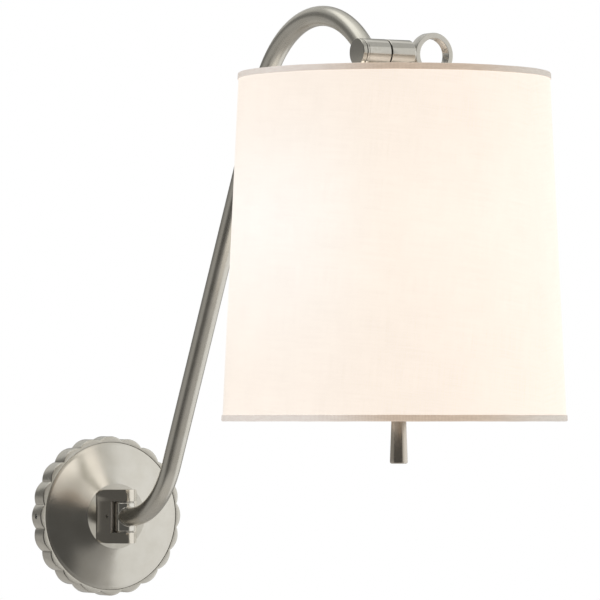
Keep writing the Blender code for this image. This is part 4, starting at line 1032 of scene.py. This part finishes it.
def build_shade():
    """The cover: one laminated cone with a lapped seam and the small waves that a rolled sheet keeps."""
    top, low = SHADE_TOP_Z - 0.2 * MM, SHADE_BOTTOM_Z + 0.2 * MM
    steps, rows = 360, 56
    points, cloth, faces, sides = [], [], [], []
    for skin in (0, 1):
        for j in range(rows + 1):
            z = low + (top - low) * j / rows
            for k in range(steps):
                angle = TAU * k / steps + SEAM
                away = TAU * k / steps if k <= steps / 2 else TAU * (k - steps) / steps
                wide = shade_radius(z) - 0.7 * MM
                hold = math.sin(math.pi * j / rows)
                wide += 0.10 * MM * hold * (math.sin(3 * angle + 0.7) * 0.6 + math.sin(7 * angle + 9.0 * j / rows) * 0.25)
                lap = away * shade_radius(z)
                if skin == 0:
                    if 0.0 <= lap < 8.5 * MM:
                        wide += 0.30 * MM if lap < 8.0 * MM else 0.30 * MM * (8.5 * MM - lap) / (0.5 * MM)
                    elif -6.0 * MM < lap < 0.0:
                        wide += 0.30 * MM * (1.0 + lap / (6.0 * MM)) ** 2
                else:
                    wide -= 1.0 * MM
                points.append(Vector((SHADE_X + wide * math.cos(angle), KNUCKLE_Y + wide * math.sin(angle), z)))
                cloth.append(flat_cloth(angle, z))
    count = (rows + 1) * steps
    for skin in (0, 1):
        for j in range(rows):
            for k in range(steps):
                m = (k + 1) % steps
                ring = [skin * count + j * steps + k, skin * count + j * steps + m,
                        skin * count + (j + 1) * steps + m, skin * count + (j + 1) * steps + k]
                faces.append(ring)
                sides.append(skin)
    for j in (0, rows):
        for k in range(steps):
            m = (k + 1) % steps
            faces.append([j * steps + k, j * steps + m, count + j * steps + m, count + j * steps + k])
            sides.append(0)
    mesh = raw_mesh("shade_cover", (points, faces, {"cloth": cloth}))
    obj = piece("shade_linen_cover", mesh, [linen("shade_linen_weave"), lining("shade_lining_laminate")], "shade_head",
                ["shade_fabric"], 50.0)
    for polygon, skin in zip(obj.data.polygons, sides):
        polygon.material_index = skin
    return obj


def tape(name, profile, mat, stands_for):
    """A ribbon folded over the shade's edge: a closed (radius, z) profile turned about the shade's axis."""
    steps = 360
    points, cloth, faces = [], [], []
    length = [0.0]
    for a, b in zip(profile, profile[1:]):
        length.append(length[-1] + math.hypot(b[0] - a[0], b[1] - a[1]))
    for i, (radius, z) in enumerate(profile):
        for k in range(steps):
            angle = TAU * k / steps + SEAM
            wobble = 0.04 * MM * math.sin(11 * angle + i * 0.2) + 0.03 * MM * math.sin(29 * angle)
            wide = radius + wobble * 0.5
            tall = z + wobble
            points.append(Vector((SHADE_X + wide * math.cos(angle), KNUCKLE_Y + wide * math.sin(angle), tall)))
            cloth.append((angle * SHADE_TOP_R / MM, length[i] / MM, 0.0))
    count = len(profile)
    for i in range(count):
        j = (i + 1) % count
        for k in range(steps):
            m = (k + 1) % steps
            faces.append([i * steps + k, i * steps + m, j * steps + m, j * steps + k])
    return piece(name, (points, faces, {"cloth": cloth}), mat, "shade_head", stands_for, 50.0)


def build_trims():
    mat = ribbon("trim_grosgrain")
    for name, node, edge, inward in (("top_ribbon_tape", "top_trim", SHADE_TOP_Z, -1), ("bottom_ribbon_tape", "bottom_trim", SHADE_BOTTOM_Z, 1)):
        at = edge + inward * 1.9 * MM                   # height of the wire ring it wraps
        ring = shade_radius(at) - 3.25 * MM
        outer = shade_radius(edge)
        far = edge + inward * 4.1 * MM
        line = [(shade_radius(far) - 0.42 * MM, far), (shade_radius(far) - 0.02 * MM, far + inward * -0.12 * MM),
                (shade_radius(edge + inward * 2.0 * MM), edge + inward * 2.0 * MM),
                (outer - 0.02 * MM, edge + inward * 0.7 * MM), (outer - 0.25 * MM, edge + inward * 0.15 * MM),
                (outer - 0.75 * MM, edge - inward * 0.12 * MM), (outer - 1.4 * MM, edge - inward * 0.16 * MM)]
        for degrees in (60, 90, 120, 150, 180, 210, 240, 262):
            a = math.radians(degrees)
            line.append((ring + 1.75 * MM * math.cos(a), at - inward * 1.75 * MM * math.sin(a)))
        line.append((ring + 1.1 * MM, at + inward * 1.75 * MM))
        line.append((ring + 1.0 * MM, at + inward * 1.45 * MM))
        for degrees in (250, 215, 180, 145, 110, 80):
            a = math.radians(degrees)
            line.append((ring + 1.4 * MM * math.cos(a), at - inward * 1.4 * MM * math.sin(a)))
        line += [(outer - 1.55 * MM, edge + inward * 0.10 * MM), (outer - 0.85 * MM, edge + inward * 0.12 * MM),
                 (outer - 0.55 * MM, edge + inward * 0.35 * MM), (outer - 0.50 * MM, edge + inward * 0.9 * MM),
                 (shade_radius(edge + inward * 2.0 * MM) - 0.45 * MM, edge + inward * 2.0 * MM)]
        tape(name, line, mat, [node])


def build_spider():
    """Hub washer, three arms and the upper wire ring, brazed together; and the lower wire ring."""
    satin = satin_nickel("spider_satin_nickel", "grain", (0.22, 0.32))
    ring_z = SHADE_TOP_Z - 1.9 * MM
    ring_r = shade_radius(ring_z) - 3.2 * MM
    hub = fillet(mm([(5.0, 287.4), (9.6, 287.4), (9.6, 289.2), (5.0, 289.2)]), 0.3 * MM, loop=True)
    shapes = [lathe(hub, 72, SHADE_AXIS)]
    circle = [(ring_r + 1.25 * MM * math.cos(TAU * i / 14), ring_z + 1.25 * MM * math.sin(TAU * i / 14)) for i in range(14)]
    shapes.append(lathe(circle, 240, SHADE_AXIS))
    for bearing in (90, 210, 330):
        c, s = math.cos(math.radians(bearing)), math.sin(math.radians(bearing))
        knots = [(8.0, 287.9), (30.0, 287.9), (60.0, 288.1), (88.0, 289.4), (96.0, 292.0), (ring_r / MM, ring_z / MM)]
        path = route([(SHADE_X + r * c * MM, KNUCKLE_Y + r * s * MM, z * MM) for r, z in knots], 40)
        shapes.append(sweep(path, 1.3 * MM, 14))
        for end in (0, -1):
            bulge = path[end] + (path[1] - path[0]).normalized() * (1.2 * MM if end == 0 else 0.0)
            blob = [(0.0, 2.0), (0.9, 1.75), (1.6, 1.1), (1.9, 0.0), (1.6, -1.1), (0.9, -1.75), (0.0, -2.0)]
            shapes.append(lathe(mm(blob), 18, Matrix.Translation(bulge) @ Matrix.Diagonal((1.0, 1.0, 0.62, 1.0))))
    piece("shade_spider_fitter", joined(*shapes), satin, "shade_head", ["shade_spider"], 34.0)
    low_z = SHADE_BOTTOM_Z + 1.9 * MM
    low_r = shade_radius(low_z) - 3.3 * MM
    circle = [(low_r + 1.25 * MM * math.cos(TAU * i / 14), low_z + 1.25 * MM * math.sin(TAU * i / 14)) for i in range(14)]
    piece("shade_lower_wire", lathe(circle, 240, SHADE_AXIS), satin, "shade_head", ["shade_bottom_ring"])


# ------------------------------------------------------------------ lamp holder
def threaded(outer, core, low, high, pitch, inner=None):
    """Profile of a threaded rod or sleeve, in metres."""
    count = max(2, round((high - low) / pitch))
    step = (high - low) / count
    profile = []
    for i in range(count):
        at = high - step * i
        profile += [(core, at - step * 0.08), (outer, at - step * 0.38), (outer, at - step * 0.58), (core, at - step * 0.88)]
    if inner is None:
        return [(0.0, high)] + profile + [(0.0, low)]
    return [(inner, high)] + profile + [(inner, low)]


def build_lamp_holder():
    brass = brass_metal("holder_brass")
    dull = brass_metal("harp_brass")
    for name, node, low, high in (("head_threaded_nipple", "head_nipple", 281.0, 303.0),
                                  ("socket_threaded_nipple", "socket_nipple", 105.0, 116.0)):
        profile = threaded(4.9 * MM, 4.45 * MM, low * MM, high * MM, 1.0 * MM, 3.2 * MM)
        piece(name, lathe(profile, 64, SHADE_AXIS), brass, "shade_head", [node], 25.0)
    for name, node, side in (("harp_rod_left", "harp_leg_left", -1), ("harp_rod_right", "harp_leg_right", 1)):
        knots = [(13.0, 289.2), (14.5, 284.0), (25.0, 274.0), (35.0, 258.0), (38.0, 236.0), (38.0, 200.0), (38.0, 165.0),
                 (36.5, 140.0), (28.5, 122.0), (24.4, 115.0), (24.0, 110.9)]
        path = route([(SHADE_X + side * x * MM, KNUCKLE_Y, z * MM) for x, z in knots], 90)
        piece(name, sweep(path, 2.0 * MM, 24), dull, "shade_head", [node])
    circle = [(5.0 * MM * math.cos(-TAU * i / 48), 5.0 * MM * math.sin(-TAU * i / 48)) for i in range(48)]
    for name, node, half_x, half_y, corner, low, high in (("harp_top_strap", "harp_top_plate", 17.0, 6.0, 5.0, 289.5, 291.1),
                                                          ("harp_base_strap", "harp_base_plate", 28.0, 7.0, 6.0, 109.0, 110.6)):
        mesh = raw_mesh(name, outline_plate([rounded_rectangle(half_x * MM, half_y * MM, corner * MM, 10), circle],
                                            low * MM, high * MM, SHADE_AXIS))
        piece(name, bevelled(mesh, 0.22 * MM, 3), brass_metal(name + "_brass", "x"), "shade_head", [node], 30.0)
    for name, node, flats, half, at, bore in (("retaining_hex_nut", "retaining_nut", 15.0, 1.8, 285.2, 5.0),
                                              ("dimmer_hex_nut", "dimmer_nut", 13.0, 1.1, 85.6, 4.9)):
        axis = KNOB_AXIS if node == "dimmer_nut" else SHADE_AXIS
        radius = flats * MM / math.sqrt(3)
        hexagon = [(radius * math.cos(TAU * i / 6), radius * math.sin(TAU * i / 6)) for i in range(6)]
        mesh = raw_mesh(name, outline_plate([hexagon], (at - half) * MM, (at + half) * MM, axis))
        round_off = radius * 0.955
        crown = [(0.0, (at + half) * MM), (round_off, (at + half) * MM), (radius + 0.2 * MM, (at + half * 0.45) * MM),
                 (radius + 0.2 * MM, (at - half * 0.45) * MM), (round_off, (at - half) * MM), (0.0, (at - half) * MM)]
        mesh = boolean(mesh, lathe(crown, 72, axis), "INTERSECT")
        mesh = boolean(mesh, cylinder(bore * MM, (at - half - 2) * MM, (at + half + 2) * MM, axis, 48))
        piece(name, mesh, brass_metal(name + "_brass", "none"), "shade_head", [node], 25.0)

    cup = [(5.0, 112.2, 0.1), (5.0, 111.0, 0.1), (12.0, 111.0, 1.2), (17.0, 113.5, 1.5), (18.6, 119.0, 1.0), (18.6, 124.0, 0.0),
           (18.75, 124.4, 0.2), (18.75, 126.2, 0.2), (18.6, 126.6, 0.0), (18.6, 149.6, 0.0), (18.8, 150.2, 0.3), (18.55, 151.0, 0.3),
           (17.5, 151.0, 0.2), (17.5, 119.4, 0.8), (16.2, 114.8, 1.0), (11.6, 112.2, 0.6)]
    mesh = lathe(fillet([(r * MM, h * MM, f * MM) for r, h, f in cup], 0.2 * MM, loop=True, segments=5), 120, SHADE_AXIS)
    piece("socket_brass_cup", mesh, brass, "shade_head", ["socket_cup"])
    body = [(5.0, 116.5), (5.0, 112.6), (11.4, 112.6), (15.6, 115.2), (17.0, 119.6), (17.0, 149.0), (14.4, 149.0), (14.4, 121.0),
            (5.0, 121.0)]
    piece("socket_porcelain_body", lathe(fillet(mm(body), 0.5 * MM, loop=True), 96, SHADE_AXIS), porcelain("socket_glazed_porcelain"),
          "shade_head", ["socket_insulator"])
    shell = [(14.1, 147.0)]
    height = 147.0
    while height > 123.5:                               # rolled screw thread of the lamp holder
        shell += [(14.1, height - 0.6), (13.75, height - 1.75), (14.1, height - 2.9)]
        height -= 3.5
    shell += [(14.1, 121.3), (8.0, 121.3), (8.0, 121.8), (13.6, 121.8)]
    height = 124.4
    while height < 146.5:
        shell += [(13.25, height), (13.6, height + 1.2)]
        height += 3.5
    shell += [(13.6, 147.0)]
    piece("socket_rolled_shell", lathe(mm(shell), 96, SHADE_AXIS), brass, "shade_head", ["socket_screw_shell"], 60.0)
    contact = fillet(mm([(0.0, 122.2), (2.6, 122.2), (4.0, 121.8), (4.0, 121.4), (0.0, 121.4)]), 0.15 * MM)
    piece("socket_centre_contact", lathe(contact, 48, SHADE_AXIS), brass, "shade_head", ["socket_contact"])


def build_bulb():
    cap = [(0.0, 122.6), (2.4, 122.7), (4.6, 123.3), (5.4, 124.2), (8.8, 125.2), (11.8, 126.6)]
    height = 127.0
    while height < 144.5:                               # thread of the bulb's cap
        cap += [(12.25, height), (13.1, height + 1.1), (13.1, height + 1.7), (12.25, height + 2.8)]
        height += 3.5
    cap += [(12.9, 145.4), (13.1, 147.0), (12.5, 147.2), (12.3, 146.0), (11.6, 128.0), (0.0, 128.0)]
    piece("bulb_threaded_cap", lathe(mm(cap), 96, SHADE_AXIS), zinc_metal("bulb_cap_steel", "grain"), "shade_head",
          ["bulb_cap"], 50.0)

    def outline(wall):
        points = [(0.0, 0.213 + 0.030 - wall)]
        for i in range(1, 17):
            a = math.radians(90.0 * i / 16)
            points.append(((0.030 - wall) * math.sin(a), 0.213 + (0.030 - wall) * math.cos(a)))
        for i in range(1, 25):
            t = i / 24
            points.append((0.0129 - wall + (0.030 - 0.0129) * (0.5 + 0.5 * math.cos(math.pi * t)), 0.213 + (0.1475 - 0.213) * t))
        return points

    glass = outline(0.0) + outline(0.8 * MM)[::-1]
    piece("bulb_opal_globe", lathe(glass, 96, SHADE_AXIS), opal_glass("bulb_lit_opal_glass"), "shade_head",
          ["bulb_glass"], 60.0)


def build_dimmer():
    def ribs(radius, height, angle):
        if 90.5 * MM < height < 106.2 * MM and radius > 16.5 * MM:
            return radius - 0.28 * MM * (0.5 - 0.5 * math.cos(angle * 36))
        return radius

    can = [(0.0, 108.6), (14.6, 108.6), (15.9, 108.2), (16.8, 107.4), (17.0, 106.6), (17.0, 106.1), (17.0, 98.0), (17.0, 90.6),
           (17.0, 90.0), (16.8, 89.2), (16.0, 88.3), (14.8, 88.0), (3.3, 88.0), (3.3, 104.0), (0.0, 104.0)]
    mesh = raw_mesh("dimmer", lathe(mm(can), 288, KNOB_AXIS, ribs))
    mesh = boolean(mesh, cylinder(5.0 * MM, 104.7 * MM, 112.0 * MM, SHADE_AXIS, 48))
    piece("dimmer_ribbed_can", mesh, plastic("dimmer_black_plastic", (0.035, 0.035, 0.037), 0.44), "shade_head",
          ["dimmer_body"], 40.0)
    profile = threaded(4.78 * MM, 4.35 * MM, 80.8 * MM, 87.7 * MM, 0.75 * MM, 3.3 * MM)
    piece("dimmer_threaded_bushing", lathe(profile, 64, KNOB_AXIS), brass_metal("bushing_brass"), "shade_head",
          ["dimmer_bushing"], 25.0)
    low, high = 40.0, 80.0
    knob = [(0.0, low, 0.0), (4.9, low + 0.02, 0.5), (5.75, low + 0.5, 0.5), (5.9, low + 1.4, 0.8), (5.86, low + 3.4, 0.0),
            (4.9, low + 30.0, 0.0), (4.62, low + 38.2, 0.3), (4.45, high, 0.3), (3.3, high, 0.15), (3.3, 47.0, 0.1), (0.0, 47.0, 0.0)]
    knob = fillet([(r * MM, h * MM, f * MM) for r, h, f in knob], 0.3 * MM, segments=6)
    piece("dimmer_tapered_knob", lathe(knob, 96, KNOB_AXIS), metal("knob_satin_nickel", (0.640, 0.585, 0.515), (0.14, 0.22), "grain"), "dimmer",
          ["dimmer_knob"], 34.0)


def build_leads():
    """Insulated leads and their connectors: smooth routes where the CAD has coarse ones."""
    colours = {"lead_line": (0.018, 0.018, 0.02), "lead_neutral": (0.72, 0.71, 0.67)}
    for name, side in (("lead_line", 1), ("lead_neutral", -1)):
        knots = [(side * 1.3, -26.2, 0), (side * 1.3, -19.5, 0), (side * 2.0, -13.5, 0), (side * 7.0, -9.0, -7.0),
                 (side * 8.5, -8.0, -19.0), (side * 13.0, -8.0, -26.0), (side * 19.0, -8.0, -27.0)]
        piece(name + "_insulated", sweep(route(mm(knots), 60), 1.1 * MM, 16), plastic(name + "_vinyl", colours[name], 0.36), "wall_base",
              [name])
    line = [(HINGE_Y - r, z) for r, z, _ in arm_centreline(20, 10, 34)[2:-3]]
    path = [(0.0, HINGE_Y - 2.0 * MM, 0.0)] + [(0.0, y, z) for y, z in line]
    piece("arm_inner_flex", sweep(path, 1.6 * MM, 14), plastic("arm_flex_vinyl", (0.03, 0.03, 0.032), 0.4), "arm",
          ["arm_wire"])
    knots = [(0.0, 0.0, 279.5), (-2.0, -3.5, 275.5), (-14.0, -6.0, 272.0), (-26.0, -5.6, 266.0), (-35.5, -5.2, 252.0),
             (-38.0, -5.0, 232.0), (-38.0, -5.0, 200.0), (-38.0, -5.0, 165.0), (-37.5, -5.0, 140.0), (-34.5, -5.0, 122.0),
             (-33.0, -4.5, 108.0), (-25.0, -2.5, 99.5), (-15.4, 0.0, 98.0)]
    path = route([(SHADE_X + x * MM, KNUCKLE_Y + y * MM, z * MM) for x, y, z in knots], 110)
    piece("socket_flex", sweep(path, 1.4 * MM, 16), plastic("socket_flex_vinyl", (0.70, 0.67, 0.60), 0.38), "shade_head",
          ["socket_wire"])

    def flutes(radius, height, angle):
        share = min(max((height - 20.5 * MM) / (3.0 * MM), 0.0), 1.0) * min(max((36.5 * MM - height) / (3.0 * MM), 0.0), 1.0)
        return radius * (1.0 - 0.07 * share * (0.5 - 0.5 * math.cos(angle * 12)))

    profile = [(0.0, 38.0)] + [(2.2, 37.9), (2.9, 37.0), (3.3, 35.4), (3.6, 32.6), (3.95, 29.8), (4.25, 27.0), (4.5, 24.2), (4.55, 22.0),
                               (4.6, 20.6), (4.6, 19.5), (4.4, 19.4), (2.3, 19.4), (2.2, 21.5), (0.0, 21.5)]
    for side, word in ((-1, "left"), (1, "right")):
        place = Matrix.Translation((0.0, -8.0 * MM, -27.0 * MM)) @ Matrix.Rotation(side * math.pi / 2, 4, "Y")
        piece(f"wire_nut_{word}", lathe(mm(profile), 96, place, flutes), plastic(f"wire_nut_{word}_plastic", (0.72, 0.20, 0.025), 0.46),
              "wall_base", [f"wire_connector_{word}"], 50.0)


# ------------------------------------------------------------------ CAD nodes that stay, with procedural finishes
def finish_kept_nodes():
    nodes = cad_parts
    kept = {
        "mounting_strap": zinc_metal("strap_zinc_steel", "x", own_mesh=False),
        "friction_washer": plastic("friction_washer_fibre", (0.05, 0.045, 0.04), 0.6),
        "dimmer_shaft": plastic("dimmer_shaft_nylon", (0.74, 0.73, 0.69), 0.4),
    }
    for name, mat in kept.items():
        data = nodes[name].data
        data.materials.clear()
        data.materials.append(mat)
    soft = nodes["mounting_strap"].modifiers.new("eased_edges", "BEVEL")
    soft.width = 0.22 * MM
    soft.segments = 2
    soft.limit_method = "ANGLE"
    soft.angle_limit = math.radians(50.0)


# ------------------------------------------------------------------ studio
def build_studio():
    world = bpy.data.worlds.new("soft_studio")
    bpy.context.scene.world = world
    world.use_nodes = True
    tree = world.node_tree
    tree.nodes.clear()
    direction = add(tree, "ShaderNodeTexCoord").outputs["Generated"]
    split = add(tree, "ShaderNodeSeparateXYZ", {0: add(tree, "ShaderNodeVectorMath", {0: direction}, operation="NORMALIZE").outputs[0]})
    azimuth = sums(tree, "MULTIPLY", sums(tree, "ARCTAN2", split.outputs["X"], sums(tree, "MULTIPLY", split.outputs["Y"], -1.0)), 180.0 / math.pi)
    elevation = sums(tree, "MULTIPLY", sums(tree, "ARCSINE", split.outputs["Z"]), 180.0 / math.pi)

    def panel(az, el, soft, value):
        """A soft-edged light panel between two azimuths and two elevations, in degrees."""
        centre, half = (az[0] + az[1]) / 2.0, (az[1] - az[0]) / 2.0
        edge_el = sums(tree, "MULTIPLY", spread(tree, elevation, el[0] - soft, el[0] + soft),
                       spread(tree, elevation, el[1] + soft, el[1] - soft))
        if half >= 180.0:
            return sums(tree, "MULTIPLY", edge_el, value)
        turned = sums(tree, "WRAP", sums(tree, "SUBTRACT", azimuth, centre), 180.0, -180.0)
        edge_az = spread(tree, sums(tree, "ABSOLUTE", turned), half + soft, half - soft)
        return sums(tree, "MULTIPLY", sums(tree, "MULTIPLY", edge_el, edge_az), value)

    level = None
    for az, el, soft, value in PANELS:
        made = panel(az, el, soft, value)
        level = made if level is None else sums(tree, "MAXIMUM", level, made)
    level = sums(tree, "MAXIMUM", level, 0.098)
    tint = blend_colour(tree, spread(tree, elevation, -60.0, 60.0), (1.0, 0.975, 0.93), (0.985, 0.99, 0.955))
    studio = add(tree, "ShaderNodeBackground", {"Color": tint, "Strength": level})
    paper = add(tree, "ShaderNodeBackground", {"Color": (1.0, 1.0, 1.0, 1.0), "Strength": 1.0})
    seen = add(tree, "ShaderNodeLightPath").outputs["Is Camera Ray"]
    mixed = add(tree, "ShaderNodeMixShader", {0: seen, 1: studio.outputs[0], 2: paper.outputs[0]})
    out = add(tree, "ShaderNodeOutputWorld")
    tree.links.new(mixed.outputs[0], out.inputs["Surface"])

    # a pale floor, under the light and out of the photograph's view
    bm = bmesh.new()
    bmesh.ops.create_grid(bm, x_segments=24, y_segments=24, size=1.6)
    mesh = bpy.data.meshes.new("studio_floor")
    bm.to_mesh(mesh)
    bm.free()
    floor = bpy.data.objects.new("studio_floor", mesh)
    floor.location = (0.0, -0.25, -0.45)
    bpy.context.scene.collection.objects.link(floor)
    mat, floor_tree, shader = new_material("pale_floor")
    where = place_of(floor_tree)
    tone = blend_colour(floor_tree, spread(floor_tree, noise(floor_tree, where, 3.0, 3.0, 0.5), 0.3, 0.7), (0.80, 0.80, 0.79), (0.84, 0.84, 0.83))
    floor_tree.links.new(tone, shader.inputs["Base Color"])
    shader.inputs["Roughness"].default_value = 0.7
    mesh.materials.append(mat)
    floor.visible_glossy = False

    # a diffusing card at the right: its near edge gives the hinge and the knob their narrow bright bands
    bm = bmesh.new()
    bmesh.ops.create_grid(bm, x_segments=12, y_segments=12, size=1.0)
    bmesh.ops.transform(bm, matrix=Matrix.Translation((0.52, -0.40, 0.0)) @ ALONG_X @ Matrix.Diagonal((0.62, 0.45, 1.0, 1.0)),
                        verts=bm.verts)
    mesh = bpy.data.meshes.new("studio_card")
    bm.to_mesh(mesh)
    bm.free()
    card = bpy.data.objects.new("studio_card", mesh)
    bpy.context.scene.collection.objects.link(card)
    mat, card_tree, shader = new_material("studio_card_glow")
    where = place_of(card_tree)
    uneven = spread(card_tree, noise(card_tree, where, 2.2, 2.0, 0.5), 0.3, 0.7, 0.90, 0.98, "LINEAR")
    card_tree.links.new(blend_colour(card_tree, uneven, (1.0, 0.99, 0.97), (0.99, 0.995, 0.985)), shader.inputs["Emission Color"])
    card_tree.links.new(uneven, shader.inputs["Emission Strength"])
    shader.inputs["Base Color"].default_value = (0.1, 0.1, 0.1, 1.0)
    shader.inputs["Specular IOR Level"].default_value = 0.0
    mesh.materials.append(mat)
    card.visible_camera = False

    scene = bpy.context.scene
    scene.view_settings.view_transform = "Standard"
    scene.view_settings.look = "None"
    scene.view_settings.exposure = 0.0
    scene.view_settings.gamma = 1.0


PANELS = [
    # azimuths from the room side toward +X, elevations, softness, brightness
    ((-100.0, 100.0), (-95.0, -43.0), 7.0, 0.62),
    ((100.0, 260.0), (-95.0, -38.0), 8.0, 0.46),
    ((112.0, 262.0), (-42.0, 4.0), 9.0, 0.42),
    ((152.0, 205.0), (-44.0, -12.0), 7.0, 0.54),
    ((112.0, 262.0), (-6.0, 26.0), 6.0, 0.20),
    ((112.0, 262.0), (25.0, 60.0), 6.0, 0.44),
    ((148.0, 200.0), (12.0, 38.0), 6.0, 0.60),
    ((20.0, 112.0), (-42.0, -8.0), 7.0, 0.49),
    ((20.0, 112.0), (-10.0, 42.0), 7.0, 0.72),
    ((7.0, 40.0), (-60.0, -13.0), 7.0, 0.34),
    ((172.0, 276.0), (44.0, 95.0), 8.0, 1.40),
    ((95.0, 182.0), (40.0, 95.0), 12.0, 0.75),
    ((-180.0, 180.0), (64.0, 95.0), 8.0, 0.95),
    ((15.0, 118.0), (34.0, 74.0), 12.0, 0.50),
]

build_rim()
build_dome()
build_wall_screws()
build_bracket()
build_hinge_inside()
build_barrel()
build_tube()
build_knuckle()
build_ring()
build_shade()
build_trims()
build_spider()
build_lamp_holder()
build_bulb()
build_dimmer()
build_leads()
finish_kept_nodes()
build_studio()
